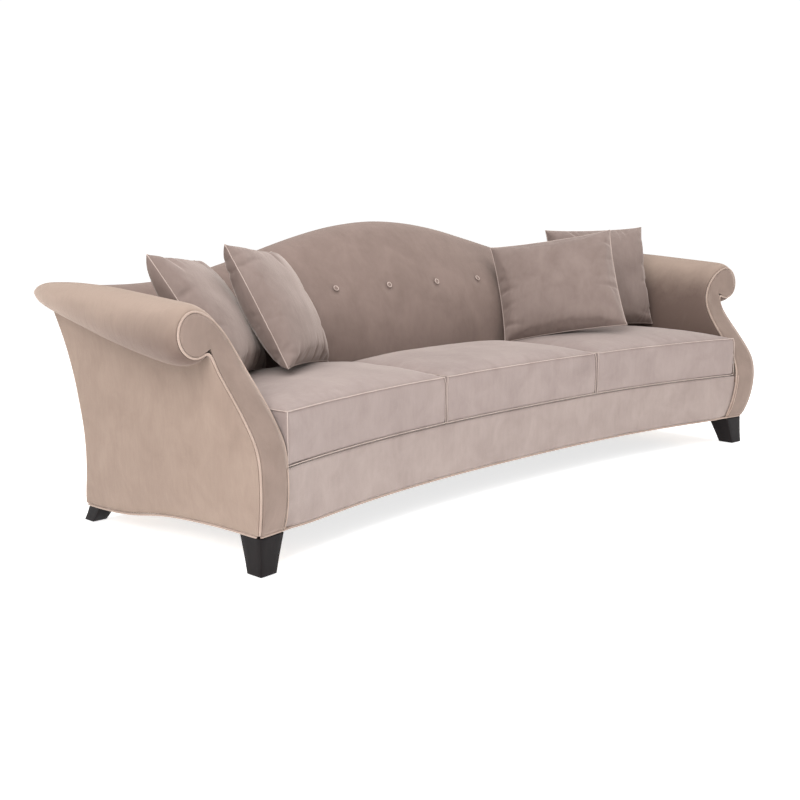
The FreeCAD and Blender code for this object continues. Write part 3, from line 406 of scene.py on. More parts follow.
# %% Give every CAD piece its finish
# stained and lacquered hardwood: nearly black, with grain lines 6 mm apart and a faint gleam
espresso_wood = grained_wood("espresso_stained_wood", "080405", "120B0C", 0.42, 0.006, 0.02)
# sawn beech: pale, matt and unsealed, with its growth lines 8 mm apart
frame_wood = grained_wood("raw_beech", "A88560", "C4A27C", 0.7, 0.008, 0.0)
# moulded nylon glides: black and half matt
nylon = plain_finish("black_nylon", "141414", "1E1E1E", 0.002, 0.55)
# drawn spring steel: grey metal, dulled by the mill's oil
spring_steel = plain_finish("spring_steel", "8A8A8C", "A6A6A8", 0.004, 0.4, 1.0)
# woven jute straps: coarse light brown yarn, 4 mm from thread to thread
jute_webbing = woven_finish("jute_webbing", "8E7350", "B79A72", 0.004, 0.9)
# real dust cloth and deck cloth have threads under 1 mm apart, drawn at 3 mm so that they show
dust_cloth = woven_finish("black_dust_cloth", "111111", "222222", 0.003, 0.95)
deck_cloth = woven_finish("taupe_deck_cloth", "85756A", "A19083", 0.003, 0.92)
# bonded polyester fibre: off-white, fully matt, in soft lumps of 10 mm
fibre_padding = plain_finish("fibre_padding", "DAD6CB", "F0EDE4", 0.01, 1.0, 0.0, 0.003)
# cut seat foam: pale yellow with open cells, drawn at 2 mm
seat_foam = plain_finish("seat_foam", "D9CDA6", "EDE2BE", 0.002, 0.95)
# the painted studio sweep: matt white, and bright enough of itself to burn out
SWEEP_GLOW = 0.72
sweep = plain_finish("white_sweep", "F6F6F6", "FFFFFF", 0.5, 0.9, 0.0, 0.0001)
sweep_shader = sweep.node_tree.nodes["Principled BSDF"]
sweep_shader.inputs["Emission Color"].default_value = WHITE
sweep_shader.inputs["Emission Strength"].default_value = SWEEP_GLOW
floor.data.materials.append(sweep)

NODE_FINISH = {
    "velvet": taupe_velvet, "welt": highlight_welt_velvet, "pillow_cloth": shaded_pillow_velvet,
    "cushion_cloth": lit_cushion_velvet, "leg_wood": espresso_wood, "glide_nylon": nylon,
    "plain_steel": spring_steel, "webbing": jute_webbing, "dust_cloth": dust_cloth,
    "deck_cloth": deck_cloth, "padding": fibre_padding, "foam": seat_foam, "frame_wood": frame_wood,
}
slot_of = {part["node"]: part["material_slot"] for part in frame["record"]["subparts"]}
for node_name, node in nodes.items():
    node.data.materials.clear()
    node.data.materials.append(NODE_FINISH[slot_of[node_name]])
print("finishes:", len(NODE_FINISH))

# %% [markdown]
# ## Rounding the cut panels
# Each cover is a thin panel of cloth. The CAD solid has its true outline, but flat facets.
# A copy of its mesh is merged into quads, its cut edges are creased so that they stay where they
# are, and a subdivision surface rounds the rest. Modelling each panel again by hand would only
# risk opening the seams between them.

# %% Copy a CAD panel and round it
CUT_EDGE = math.radians(48.0)
SAME_PLACE = 0.00002
FACE_BEND = math.radians(60.0)
FACE_SKEW = math.radians(70.0)
SMOOTH_BEND = math.radians(50.0)


def rounded_copy(node_name, name, levels, crease=1.0, sharp=CUT_EDGE):
    """A smooth copy of a CAD node, with its sharp edges kept."""
    piece = bpy.data.objects.new(name, nodes[node_name].data.copy())
    bpy.context.scene.collection.objects.link(piece)
    pick(piece)
    bpy.ops.object.mode_set(mode="EDIT")
    bpy.ops.mesh.select_all(action="SELECT")
    bpy.ops.mesh.remove_doubles(threshold=SAME_PLACE)
    bpy.ops.mesh.tris_convert_to_quads(face_threshold=FACE_BEND, shape_threshold=FACE_SKEW)
    if crease:
        bpy.ops.mesh.select_all(action="DESELECT")
        bpy.ops.mesh.select_mode(type="EDGE")
        bpy.ops.mesh.edges_select_sharp(sharpness=sharp)
        bpy.ops.transform.edge_crease(value=crease)
    bpy.ops.object.mode_set(mode="OBJECT")
    finish(piece, "SUBSURF", levels=levels, render_levels=levels)
    bpy.ops.object.shade_smooth_by_angle(angle=SMOOTH_BEND)
    return piece


def unevenness(spots, size, seed):
    """A gentle even noise between -1 and 1 at each place, patches of the given size."""
    shift = Vector((seed * 3.1, seed * 1.7, seed * 2.3))
    return np.array([noise.noise(Vector(p) / size + shift) for p in spots])


print("rounding is ready")

# %% [markdown]
# ## The covers
# Nine panels of velvet make the sofa's skin. Over soft padding no panel lies quite flat, so each
# one gets a wave of less than a millimetre, in patches as wide as a hand. Painting those waves as
# bump would be quicker, but the outline and the mesh would stay too perfect.

# %% Cut and round the covers
COVER_PATCH = 0.16
# each cover's CAD node, name, rounding levels, depth of its waves and seed
COVERS = [
    ("inside_back_cover", "inside_back_cloth", 3, 0.0009, 1),
    ("outside_back_panel", "outside_back_cloth", 2, 0.0006, 2),
    ("front_border", "front_border_cloth", 3, 0.0005, 3),
    ("arm_cover_left", "arm_cloth_left", 3, 0.0009, 4),
    ("arm_cover_right", "arm_cloth_right", 3, 0.0009, 5),
    ("outside_arm_left", "outside_arm_cloth_left", 3, 0.0006, 6),
    ("outside_arm_right", "outside_arm_cloth_right", 3, 0.0006, 7),
    ("arm_facing_left", "arm_facing_cloth_left", 2, 0.0003, 8),
    ("arm_facing_right", "arm_facing_cloth_right", 2, 0.0003, 9),
]
covers = {}
for node_name, cover_name, levels, wave, seed in COVERS:
    cover = rounded_copy(node_name, cover_name, levels)
    spots = points_of(cover)
    ways = normals_of(cover)
    spots += ways * (wave * unevenness(spots, COVER_PATCH, seed))[:, None]
    move_points(cover, spots)
    covers[node_name] = cover
    print(cover_name, len(cover.data.polygons), "faces")

# %% [markdown]
# ## Gathers behind the scrolls
# Behind each scroll the cloth is gathered under the welt, which leaves short soft puckers round
# the roll. At the far end the roll's padding runs out, so its outer side draws in.
# A cloth simulation could find the puckers, but moving the points that are already there keeps
# the panels in one piece and their seams closed.

# %% Gather the rolls
ROLL_CENTRE = (1.364, 0.648)
ROLL_FROM_HEIGHT = 0.5
GATHER_LENGTH = 0.07
GATHER_DEPTH = 0.0016
GATHER_FADE = 3.0
FOLDS_ROUND = 23.0
FOLD_SWAY = 1.7
SWAYS_ROUND = 5.0
ROUND_FROM = 0.30
ROUND_LENGTH = 0.20
ROUND_SHARE = 0.48
ROUND_STEEPEST = 0.98
OUTWARD_BEND = 1.2


def gather_roll(cover, front_depth):
    """Press puckers into the roll just behind its front edge."""
    spots = points_of(cover)
    around = np.arctan2(spots[:, 2] - ROLL_CENTRE[1], np.abs(spots[:, 0]) - ROLL_CENTRE[0])
    behind = np.clip((spots[:, 1] - front_depth) / GATHER_LENGTH, 0.0, 1.0)
    fade = np.exp(-GATHER_FADE * behind) * (spots[:, 2] > ROLL_FROM_HEIGHT)
    fold = np.sin(around * FOLDS_ROUND + FOLD_SWAY * np.sin(around * SWAYS_ROUND))
    move_points(cover, spots + normals_of(cover) * (GATHER_DEPTH * fade * fold)[:, None])


def round_roll_end(cover):
    """Draw the outer side of the roll in towards its rear end."""
    spots = points_of(cover)
    out = np.abs(spots[:, 0]) - ROLL_CENTRE[0]
    up = spots[:, 2] - ROLL_CENTRE[1]
    run = np.clip((spots[:, 1] - ROUND_FROM) / ROUND_LENGTH, 0.0, 1.0)
    share = 1.0 - np.sqrt(1.0 - ROUND_STEEPEST * run ** 2)
    outward = (0.5 + 0.5 * np.cos(np.arctan2(up, out))) ** OUTWARD_BEND
    outward *= spots[:, 2] > ROLL_FROM_HEIGHT
    spots[:, 0] -= np.sign(spots[:, 0]) * ROUND_SHARE * share * outward * np.maximum(out, 0.0)
    move_points(cover, spots)


for side in ("left", "right"):
    arm_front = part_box("arm_cover_" + side)[0][1]
    gather_roll(covers["arm_cover_" + side], arm_front)
    round_roll_end(covers["arm_cover_" + side])
    print(side, "roll gathered from", round(arm_front, 3), "m")

# %% [markdown]
# ## Dips at the buttons
# Each button is tied through the back with twine, which pulls the padding in round it. A smooth
# dip round each button's own centre gives that. The buttons' places and the ways they face are
# measured on the CAD piece, so they follow it when it changes.

# %% Sink the back round its buttons
BUTTON_ACROSS = (-0.877, -0.627, -0.377, -0.127, 0.127, 0.377, 0.627, 0.877)
BUTTON_REACH = 0.05
DIP_DEPTH = 0.0055
DIP_WIDTH = 0.026
button_spots = []
raw = points_of(nodes["back_buttons"])
for across in BUTTON_ACROSS:
    near = raw[np.abs(raw[:, 0] - across) < BUTTON_REACH]
    centre = near.mean(axis=0)
    spread = np.linalg.svd(near - centre)[2]
    way = Vector(spread[2])
    if way.y > 0.0:
        way.negate()
    button_spots.append((Vector(centre), way))
back = covers["inside_back_cover"]
spots = points_of(back)
for centre, way in button_spots:
    far = np.linalg.norm(spots - np.array(centre), axis=1)
    spots -= np.array(way)[None, :] * (DIP_DEPTH * np.exp(-((far / DIP_WIDTH) ** 2)))[:, None]
move_points(back, spots)
print("buttons at", [round(c.x, 3) for c, w in button_spots])

# %% [markdown]
# ## The ends of the front border
# The upholsterer tucks both ends of the border under the arm facings, whose inner edges lean
# outward with height. So the last stretch of the border is drawn out to follow that edge.
# Widening the whole panel would also work, but it would pull the seam in the middle.

# %% Tuck the border under the facings
BORDER_STRETCH_FROM = 1.10
BORDER_END = 1.177
# height and reach of the tuck, at the foot and at the top of the border
TUCK_LOW = (0.117, 0.015)
TUCK_HIGH = (0.287, 0.030)
TUCK_DEPTH = 0.0015
border = covers["front_border"]
spots = points_of(border)
beyond = np.abs(spots[:, 0]) - BORDER_STRETCH_FROM
share = np.clip(beyond / (BORDER_END - BORDER_STRETCH_FROM), 0.0, 1.0)
rise = (spots[:, 2] - TUCK_LOW[0]) / (TUCK_HIGH[0] - TUCK_LOW[0])
reach = TUCK_LOW[1] + (TUCK_HIGH[1] - TUCK_LOW[1]) * np.clip(rise, 0.0, 1.0)
spots[:, 0] += np.sign(spots[:, 0]) * share * reach
spots[:, 1] += TUCK_DEPTH * share ** 4
move_points(border, spots)
print("border now", round(float(spots[:, 0].max() - spots[:, 0].min()), 3), "m wide")

# %% [markdown]
# ## Painted light and shade on each cover
# All covers are cut from one cloth, and the nap lies another way on each. Each cover takes a copy
# of the velvet made paler where it is lit and deeper where it is in shade: painted light and shade.

# %% Hang the covers on the sofa's base
LIT_AND_SHADED_VELVETS = {
    "inside_back_cover": shaded_back_velvet, "front_border": lit_border_velvet,
    "arm_cover_left": lit_and_shaded_arm_velvet, "arm_cover_right": lit_and_shaded_arm_velvet,
    "arm_facing_left": shaded_facing_velvet, "arm_facing_right": shaded_facing_velvet,
}
for node_name, cover in covers.items():
    hang(cover, "base", slot_of[node_name], LIT_AND_SHADED_VELVETS.get(node_name, taupe_velvet), node_name)
    print(cover.name, "is", cover.data.materials[0].name)

# %% [markdown]
# ## The padding beneath
# Fibre padding lies under the covers and gives way where they are pulled in. Its rounded copies
# are set a few millimetres deeper, so that no padding shows through a dimple. Cutting the dimples
# into the padding too would be truer, but nobody sees it under the cloth.

# %% Set the padding under the covers
# how far each padding gives way under its cover
PADDINGS = (("back_padding", 0.0085), ("arm_padding_left", 0.004), ("arm_padding_right", 0.004))
for node_name, give in PADDINGS:
    pad = rounded_copy(node_name, node_name + "_fibre", 1, crease=0.0)
    move_points(pad, points_of(pad) - normals_of(pad) * give)
    hang(pad, "base", slot_of[node_name], fibre_padding, node_name)
    print(pad.name, "set", give * 1000.0, "mm deep")

# %% [markdown]
# ## Welts
# A welt is a cord in a folded strip of the cover cloth, caught in the seam. It reads as a thin
# light line where the pile stands open along its curve, painted in as a highlight by its paler
# velvet. The CAD cords have six sides and become round with a subdivision surface. A slight
# fattening gives back what the rounding takes.

# %% Round the welts
ROUNDING_LOSS = 0.0006
WELTS = ["facing_welt_left", "facing_welt_right", "hem_welt_front", "hem_welt_left",
         "hem_welt_right", "hem_welt_rear"]
for node_name in WELTS:
    welt = rounded_copy(node_name, node_name + "_cord", 2, crease=0.0)
    move_points(welt, points_of(welt) + normals_of(welt) * ROUNDING_LOSS)
    hang(welt, "base", "welt", highlight_welt_velvet, node_name)
print("welts:", len(WELTS))

# %% [markdown]
# ## Covered buttons
# A covered button is a thin metal dome with velvet pressed round it, and its rim shows as a
# bright ring, partly from its shape and partly as a highlight painted in the paler seam velvet.
# It starts as a disc, which is extruded and resized ring by ring along a short profile, as a
# turner would work it. A ready-made sphere has neither the rim nor the flat back.

# %% Turn one button
# radius and height of each ring, from the middle of the dome to the back of the rim
BUTTON_PROFILE = [(0.0, 0.0020), (0.0040, 0.0018), (0.0066, 0.0012), (0.0076, 0.0004),
                  (0.0084, 0.0017), (0.0096, 0.0021), (0.0106, 0.0012), (0.0109, -0.0006),
                  (0.0100, -0.0022)]
BUTTON_SIDES = 32
bpy.ops.object.select_all(action="DESELECT")
bpy.ops.mesh.primitive_circle_add(vertices=BUTTON_SIDES, radius=BUTTON_PROFILE[-1][0],
                                  fill_type="NGON", location=(0.0, 0.0, BUTTON_PROFILE[-1][1]))
button_master = bpy.context.object
bpy.ops.object.mode_set(mode="EDIT")
bpy.ops.mesh.select_all(action="SELECT")
for (r0, h0), (r1, h1) in zip(BUTTON_PROFILE[:0:-1], BUTTON_PROFILE[-2::-1]):
    bpy.ops.mesh.extrude_region_move(TRANSFORM_OT_translate={"value": (0.0, 0.0, h1 - h0)})
    if r1 > 0.0:
        bpy.ops.transform.resize(value=(r1 / r0, r1 / r0, 1.0), center_override=(0.0, 0.0, h1))
bpy.ops.mesh.merge(type="CENTER")
bpy.ops.mesh.select_all(action="SELECT")
bpy.ops.mesh.normals_make_consistent(inside=False)
bpy.ops.object.mode_set(mode="OBJECT")
finish(button_master, "SUBSURF", levels=1, render_levels=1)
bpy.ops.object.transform_apply(location=True, rotation=True, scale=True)
bpy.ops.object.shade_smooth()
print("button:", len(button_master.data.polygons), "faces")

# %% [markdown]
# ## Eight buttons alike
# One turned button is enough, because the others differ only in place. Each copy gets its own
# mesh, turned to face the way its CAD button faces. Its rim takes the seam velvet with its
# painted highlight, and its dome the back's velvet with its painted shade.

# %% Copy the button to its eight places
RING_FROM = 0.0075
BUTTON_SINK = 0.0022
# rim faces take the painted highlight, dome faces the back's painted shade
highlight_rim_or_shaded_dome = [int(math.hypot(*face.center[:2]) < RING_FROM) for face in button_master.data.polygons]
for count, (centre, way) in enumerate(button_spots):
    button = bpy.data.objects.new(f"back_button_{count + 1}", button_master.data.copy())
    bpy.context.scene.collection.objects.link(button)
    turn = way.to_track_quat("Z", "Y").to_matrix().to_4x4()
    button.data.transform(Matrix.Translation(centre - way * BUTTON_SINK) @ turn)
    hang(button, "base", "velvet", highlight_seam_velvet, "back_buttons")
    button.data.materials.append(shaded_back_velvet)
    button.data.polygons.foreach_set("material_index", highlight_rim_or_shaded_dome)
bpy.data.objects.remove(button_master)
print("buttons:", len(button_spots))

# %% [markdown]
# ## Feet
# The front feet are square blocks that taper inward with slightly hollow sides, and the rear
# ones rake back. Their edges are eased with sandpaper, which a narrow bevel stands for. A wider
# one would look moulded, and none at all would catch no light.

# %% Shape the feet
FOOT_EDGE = math.radians(35.0)
FOOT_SMOOTH_BEND = math.radians(40.0)
EASED_EDGE = 0.0016
for side in ("left", "right"):
    for row in ("front", "rear"):
        node_name = f"{row}_leg_{side}"
        foot = rounded_copy(node_name, f"{row}_foot_{side}", 2, sharp=FOOT_EDGE)
        finish(foot, "BEVEL", width=EASED_EDGE, segments=3, limit_method="ANGLE", angle_limit=FOOT_EDGE)
        bpy.ops.object.shade_smooth_by_angle(angle=FOOT_SMOOTH_BEND)
        hang(foot, "base", "leg_wood", espresso_wood, node_name)
        print(foot.name, len(foot.data.polygons), "faces")

# %% [markdown]
# ## Filling with a cloth simulation
# Cushions and pillows are bags of cloth pushed out by their filling. The bag is modelled close to
# its shape, and a cloth simulation with inner pressure fills it, which tightens its sides and
# softens its seams. Left alone the bag would swell to a ball, so its growth is held back.
# Sculpting the same by hand would take far longer.

# %% Fill a bag and hold back its growth
FILL_FRAMES = 12
CLOTH_WEIGHT = 0.25
CLOTH_DAMPING = 12.0
SHEAR_SHARE = 0.4
SOLVER_STEPS = 6


def fill_bag(bag, pressure, stretch, bend):
    """Run the cloth simulation for a few frames and keep the shape it ends in."""
    pick(bag)
    cloth = bag.modifiers.new("filling", "CLOTH")
    rules = cloth.settings
    rules.quality = SOLVER_STEPS
    rules.mass = CLOTH_WEIGHT
    rules.tension_stiffness = stretch
    rules.compression_stiffness = stretch
    rules.shear_stiffness = stretch * SHEAR_SHARE
    rules.bending_stiffness = bend
    rules.tension_damping = CLOTH_DAMPING
    rules.compression_damping = CLOTH_DAMPING
    rules.shear_damping = CLOTH_DAMPING
    rules.use_pressure = True
    rules.uniform_pressure_force = pressure
    rules.effector_weights.gravity = 0.0
    cloth.collision_settings.use_self_collision = False
    cloth.collision_settings.use_collision = False
    cloth.point_cache.frame_start = 1
    cloth.point_cache.frame_end = FILL_FRAMES
    for step in range(1, FILL_FRAMES + 1):
        bpy.context.scene.frame_set(step)
    bpy.ops.object.modifier_apply(modifier=cloth.name)
    bpy.context.scene.frame_set(1)
    print(bag.name, "filled in", FILL_FRAMES, "frames")


def held_back(before, after, most):
    """The points moved from their first places, but no farther than the most allowed."""
    move = after - before
    reach = np.linalg.norm(move, axis=1)
    return before + move * np.minimum(1.0, most / np.maximum(reach, 1e-9))[:, None]


def bag_from_grid(name, across, deep, thick, layers):
    """A closed bag of even quads: a grid, pulled down in layers to its other face."""
    bpy.ops.object.select_all(action="DESELECT")
    bpy.ops.mesh.primitive_grid_add(x_subdivisions=across, y_subdivisions=deep, size=1.0)
    bag = bpy.context.object
    bag.name = name
    bpy.ops.object.mode_set(mode="EDIT")
    bpy.ops.mesh.select_all(action="SELECT")
    for layer in range(layers):
        bpy.ops.mesh.extrude_region_move(TRANSFORM_OT_translate={"value": (0.0, 0.0, -thick / layers)})
    bpy.ops.mesh.select_all(action="SELECT")
    bpy.ops.mesh.normals_make_consistent(inside=False)
    bpy.ops.object.mode_set(mode="OBJECT")
    return bag


print("filling is ready")

# %% [markdown]
# ## Sewn seams
# Where two cloths are sewn edge to edge, the turned edges make a thin firm ridge. It could be a
# line in the material, but a thin round cord along the edge also catches light and casts a
# shadow. It is laid as a curve through the bag's own points, so it can't stray from the edge.

# %% Lay a sewn seam along a loop of points
RIM = 0.9999


def sew_seam(name, loop, radius, closed=True):
    """A thin round seam along points in order."""
    line = bpy.data.curves.new(name, "CURVE")
    line.dimensions = "3D"
    line.bevel_depth = radius
    line.bevel_resolution = 1
    run = line.splines.new("POLY")
    run.points.add(len(loop) - 1)
    for knot, place in zip(run.points, loop):
        knot.co = (place[0], place[1], place[2], 1.0)
    run.use_cyclic_u = closed
    seam = bpy.data.objects.new(name, line)
    bpy.context.scene.collection.objects.link(seam)
    pick(seam)
    bpy.ops.object.convert(target="MESH")
    bpy.ops.object.shade_smooth()
    return bpy.context.object


def rim_order(u, v):
    """The points on the rim of a square grid, in order round it."""
    across = u * 2.0 - 1.0
    deep = v * 2.0 - 1.0
    rim = np.where(np.maximum(np.abs(across), np.abs(deep)) > RIM)[0]
    return rim[np.argsort(np.arctan2(deep[rim], across[rim]))]


print("sewing is ready")

# %% [markdown]
# ## The border's side seams
# The border meets each arm facing in a corner, and a seam closes it from the hem up to the
# cushion. Its points were measured along the facing's inner edge, which curves two ways at once.

# %% Sew the border to the arm facings
FACING_SEAM_RADIUS = 0.0022
FACING_EDGE = [(1.1860, -0.4452, 0.119), (1.1876, -0.4540, 0.138), (1.1895, -0.4618, 0.159),
               (1.1920, -0.4684, 0.185), (1.1942, -0.4732, 0.209), (1.1962, -0.4766, 0.236),
               (1.1981, -0.4786, 0.262), (1.2000, -0.4786, 0.290)]
for hand, side in ((-1.0, "left"), (1.0, "right")):
    edge = [(hand * x, y, z) for x, y, z in FACING_EDGE]
    seam = sew_seam("facing_edge_seam_" + side, edge, FACING_SEAM_RADIUS, closed=False)
    hang(seam, "base", "welt", highlight_welt_velvet)
    print(seam.name, "is", round(FACING_EDGE[-1][2] - FACING_EDGE[0][2], 3), "m high")

# %% [markdown]
# ## Seat cushions
# Each seat cushion is boxed: a crowned top and a flat bottom, joined by a band that follows the
# concave front of the sofa. A grid, pulled down in layers, gives top, band and bottom in one
# closed bag of even quads. Its points are then moved to the cushion's true outline. A cube, cut
# and bent, would have uneven quads, and those fill unevenly.

# %% Lay out one cushion bag
SEAT_FRONT_SAG = 0.135
SEAT_HALF_SPAN = 1.190
SEAT_BEND = 2.5
SEAT_BACK_PLACE = 0.460
CUSHION_OVERHANG = 0.006
BAND_HEIGHT = 0.146
BAND_LAYERS = 8
CUSHION_GRID = (50, 40)
CROWN = 0.040
CROWN_CLEARANCE = 0.003
CROWN_FLATNESS = 3.0
CROWN_FULLNESS = 0.75
TURNED_EDGE = 0.0035
TOP_TO = 0.01
BOTTOM_FROM = 0.99


def seat_front(x):
    """Depth of the concave front edge at a distance from the middle."""
    share = np.minimum(1.0, np.abs(x) / SEAT_HALF_SPAN)
    return SEAT_FRONT_SAG * (1.0 - share ** SEAT_BEND) - CUSHION_OVERHANG - SEAT_BACK_PLACE


def cushion_bag(name):
    """A bag at a seat cushion's outline, and each point's place across, back and down it."""
    low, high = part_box(name)
    bag = bag_from_grid(name + "_cloth", *CUSHION_GRID, 1.0, BAND_LAYERS)
    flat = points_of(bag)
    u = flat[:, 0] + 0.5
    v = flat[:, 1] + 0.5
    depth = -flat[:, 2]
    ease = TURNED_EDGE * np.where((depth < TOP_TO) | (depth > BOTTOM_FROM), 1.0, 0.0)
    x = low.x + ease + (high.x - low.x - 2.0 * ease) * u
    rear = high.y - ease
    front = seat_front(x) + ease
    y = front + (rear - front) * v
    across = 1.0 - np.abs(2.0 * u - 1.0) ** CROWN_FLATNESS
    along = 1.0 - np.abs(2.0 * v - 1.0) ** CROWN_FLATNESS
    crown = (across * along) ** CROWN_FULLNESS
    top = low.z + BAND_HEIGHT + (CROWN - CROWN_CLEARANCE) * crown
    z = np.where(depth < TOP_TO, top, low.z + BAND_HEIGHT * (1.0 - depth))
    move_points(bag, np.stack([x, y, z], axis=1))
    return bag, u, v, depth


print("band", BAND_HEIGHT, "m high, crown", CROWN, "m")

# %% [markdown]
# ## What a cushion has been through
# Dense foam holds most of a cushion's shape, so its bag is filled only a little and may grow by
# no more than 6 mm, and not at all where it lies on the deck. People have sat on it, so its top
# has shallow waves. Thin knife seams run along the band and down its front corners.

# %% Fill a cushion, slacken its cloth and sew its seams
CUSHION_PRESSURE = 3.0
CUSHION_STRETCH = 12.0
CUSHION_STIFFNESS = 0.6
CUSHION_GROWTH = 0.006
STILL_FROM = 0.97
# size, depth and first seed of the cloth's broad waves and of its small ones
BROAD_WAVES = (0.12, 0.0022, 3)
SMALL_WAVES = (0.045, 0.0007, 13)
BAND_SLACK = 0.4
EDGE_FADE = 9.0
AT_EDGE = 0.001
SEAM_RADIUS = 0.0016
CORNER_SEAM_RADIUS = 0.00128


def fill_cushion(bag, depth, low, high):
    """Fill the bag, but keep it within the cushion's room."""
    before = points_of(bag)
    fill_bag(bag, CUSHION_PRESSURE, CUSHION_STRETCH, CUSHION_STIFFNESS)
    after = held_back(before, points_of(bag), np.where(depth > STILL_FROM, 0.0, CUSHION_GROWTH))
    after[:, 0] = np.clip(after[:, 0], low.x, high.x)
    after[:, 1] = np.minimum(after[:, 1], high.y)
    move_points(bag, after)


def slacken(bag, u, v, depth, seed):
    """Lay shallow waves in the top, fading towards its seams, and fainter ones in the band."""
    spots = points_of(bag)
    slack = np.zeros(len(spots))
    for size, wave_depth, first_seed in (BROAD_WAVES, SMALL_WAVES):
        slack += unevenness(spots, size, first_seed + seed) * wave_depth
    inside = np.minimum.reduce([u, 1.0 - u, v, 1.0 - v])
    upper = (depth < TOP_TO) * np.clip(inside * EDGE_FADE, 0.0, 1.0)
    band = (depth > TOP_TO) * (depth < STILL_FROM) * BAND_SLACK
    move_points(bag, spots + normals_of(bag) * (slack * (upper + band))[:, None])


def cushion_seams(bag, name, u, v, depth):
    """Seams round the top, round the bottom and down both front corners."""
    spots = points_of(bag)
    seams = []
    for level, edge in ((0.0, "top"), (1.0, "bottom")):
        ring = np.where(np.abs(depth - level) < TOP_TO)[0]
        order = ring[rim_order(u[ring], v[ring])]
        seams.append(sew_seam(f"{name}_{edge}_seam", spots[order], SEAM_RADIUS))
    for end, edge in ((0.0, "left"), (1.0, "right")):
        column = np.where((np.abs(u - end) < AT_EDGE) & (v < AT_EDGE))[0]
        order = column[np.argsort(depth[column])]
        seams.append(sew_seam(f"{name}_{edge}_corner_seam", spots[order], CORNER_SEAM_RADIUS,
                              closed=False))
    return seams


print("a cushion may grow by", CUSHION_GROWTH * 1000.0, "mm")

# %% [markdown]
# ## Three cushions
# All three are made alike, each to its own outline. Their seams belong to the cushion's body, so
# they rise with it when it is lifted off.

# %% Make the seat cushions
for seed, side in enumerate(("left", "middle", "right")):
    name = "seat_cushion_" + side
    bag, u, v, depth = cushion_bag(name)
    fill_cushion(bag, depth, *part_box(name))
    slacken(bag, u, v, depth, seed)
    seams = cushion_seams(bag, name, u, v, depth)
    finish(bag, "SUBSURF", levels=2, render_levels=2)
    bpy.ops.object.shade_smooth()
    hang(bag, name, "cushion_cloth", lit_cushion_velvet, name, "cushion_core_" + side)
    for seam in seams:
        hang(seam, name, "cushion_cloth", highlight_seam_velvet)
    print(bag.name, len(bag.data.polygons), "faces")

# %% [markdown]
# ## Throw pillows
# A throw pillow is two squares of velvet sewn together and turned, with a loose feather filling.
# Its sides pull in between the corners, and the corners stay thin. A flat bag would need a long
# simulation and come out star-shaped, so this one starts a little under its full thickness.

# %% Lay out a pillow
PILLOW_WIDTH = 0.500
PILLOW_HEIGHT = 0.430
PILLOW_GRID = (64, 56)
SEAM_GAP = 0.004
START_THICK = 0.150
FULLNESS = 0.50
PULL_IN = 0.035
LUMP_SIZE = 0.55
LUMP_SHARE = 0.10


def flat_pillow(name, seed):
    """A plump bag lying flat, and each point's place across and up it."""
    bag = bag_from_grid(name, *PILLOW_GRID, SEAM_GAP, 1)
    spots = points_of(bag)
    u = spots[:, 0] * 2.0
    v = spots[:, 1] * 2.0
    face = np.where(spots[:, 2] > -0.5 * SEAM_GAP, 1.0, -1.0)
    swell = np.maximum(0.0, (1.0 - u ** 2) * (1.0 - v ** 2)) ** FULLNESS
    spots[:, 0] = u * 0.5 * PILLOW_WIDTH * (1.0 - PULL_IN * (1.0 - v ** 2))
    spots[:, 1] = v * 0.5 * PILLOW_HEIGHT * (1.0 - PULL_IN * (1.0 - u ** 2))
    lump = 1.0 + LUMP_SHARE * unevenness(np.stack([u, v, face], axis=1), LUMP_SIZE, seed)
    spots[:, 2] = face * (0.5 * SEAM_GAP + 0.5 * START_THICK * swell * lump)
    move_points(bag, spots)
    return bag, u, v, face > 0.0


print("pillow", PILLOW_WIDTH, "by", PILLOW_HEIGHT, "m before filling")

# %% [markdown]
# ## Tucks
# The seam is a little shorter than the cloth that it holds, so tucks run in from it, deep at the
# seam and gone within a hand's width. They are laid out by a seeded dice and pressed in after
# the filling, because a simulation this short would not find them.

# %% Press tucks into a pillow
TUCKS_A_SIDE = 8
TUCK_REACH = 0.24
TUCK_SPREAD = (-0.20, 0.20)
TUCK_LENGTHS = (0.035, 0.130)
TUCK_WIDTHS = (0.006, 0.011)
TUCK_DEPTHS = (0.003, 0.013)
TUCK_SLANTS = (-0.35, 0.35)
TUCK_START = 0.006
LEAST_AT_SEAM = 0.2
MOST_OF_THICKNESS = 0.6


def tucks(u, v, seed):
    """Depth of the tucks that run in from the seams, over the square of a pillow."""
    dice = np.random.default_rng(seed)
    depth = np.zeros(len(u))
    for side in range(4):
        along = (v, u)[side % 2] * TUCK_REACH
        edge = (1.0 - (u, v)[side % 2] * (1.0 if side < 2 else -1.0)) * TUCK_REACH
        for tuck in range(TUCKS_A_SIDE):
            at = dice.uniform(*TUCK_SPREAD)
            length = dice.uniform(*TUCK_LENGTHS)
            width = dice.uniform(*TUCK_WIDTHS)
            deep = dice.uniform(*TUCK_DEPTHS)
            slant = dice.uniform(*TUCK_SLANTS)
            across = along - at - slant * edge
            fade = np.clip(1.0 - edge / length, 0.0, 1.0)
            fade *= np.clip(edge / TUCK_START, LEAST_AT_SEAM, 1.0)
            depth += deep * np.exp(-((across / width) ** 2)) * fade
    return depth


def press_tucks(spots, u, v, seed):
    """Both faces of the pillow pressed in along its tucks."""
    room = np.abs(spots[:, 2]) * MOST_OF_THICKNESS
    spots[:, 2] -= np.sign(spots[:, 2]) * np.minimum(tucks(u, v, seed), room)
    return spots


print("tucks a pillow:", 4 * TUCKS_A_SIDE)

# %% [markdown]
# ## Leaning on the back
# Each pillow stands on a seat cushion and leans back, turned a little towards the middle. Three
# angles set that: its turn on the seat, its lean, and its roll on its own middle. The CAD box
# gives its place, so that the cloth ends up where the CAD pillow is.

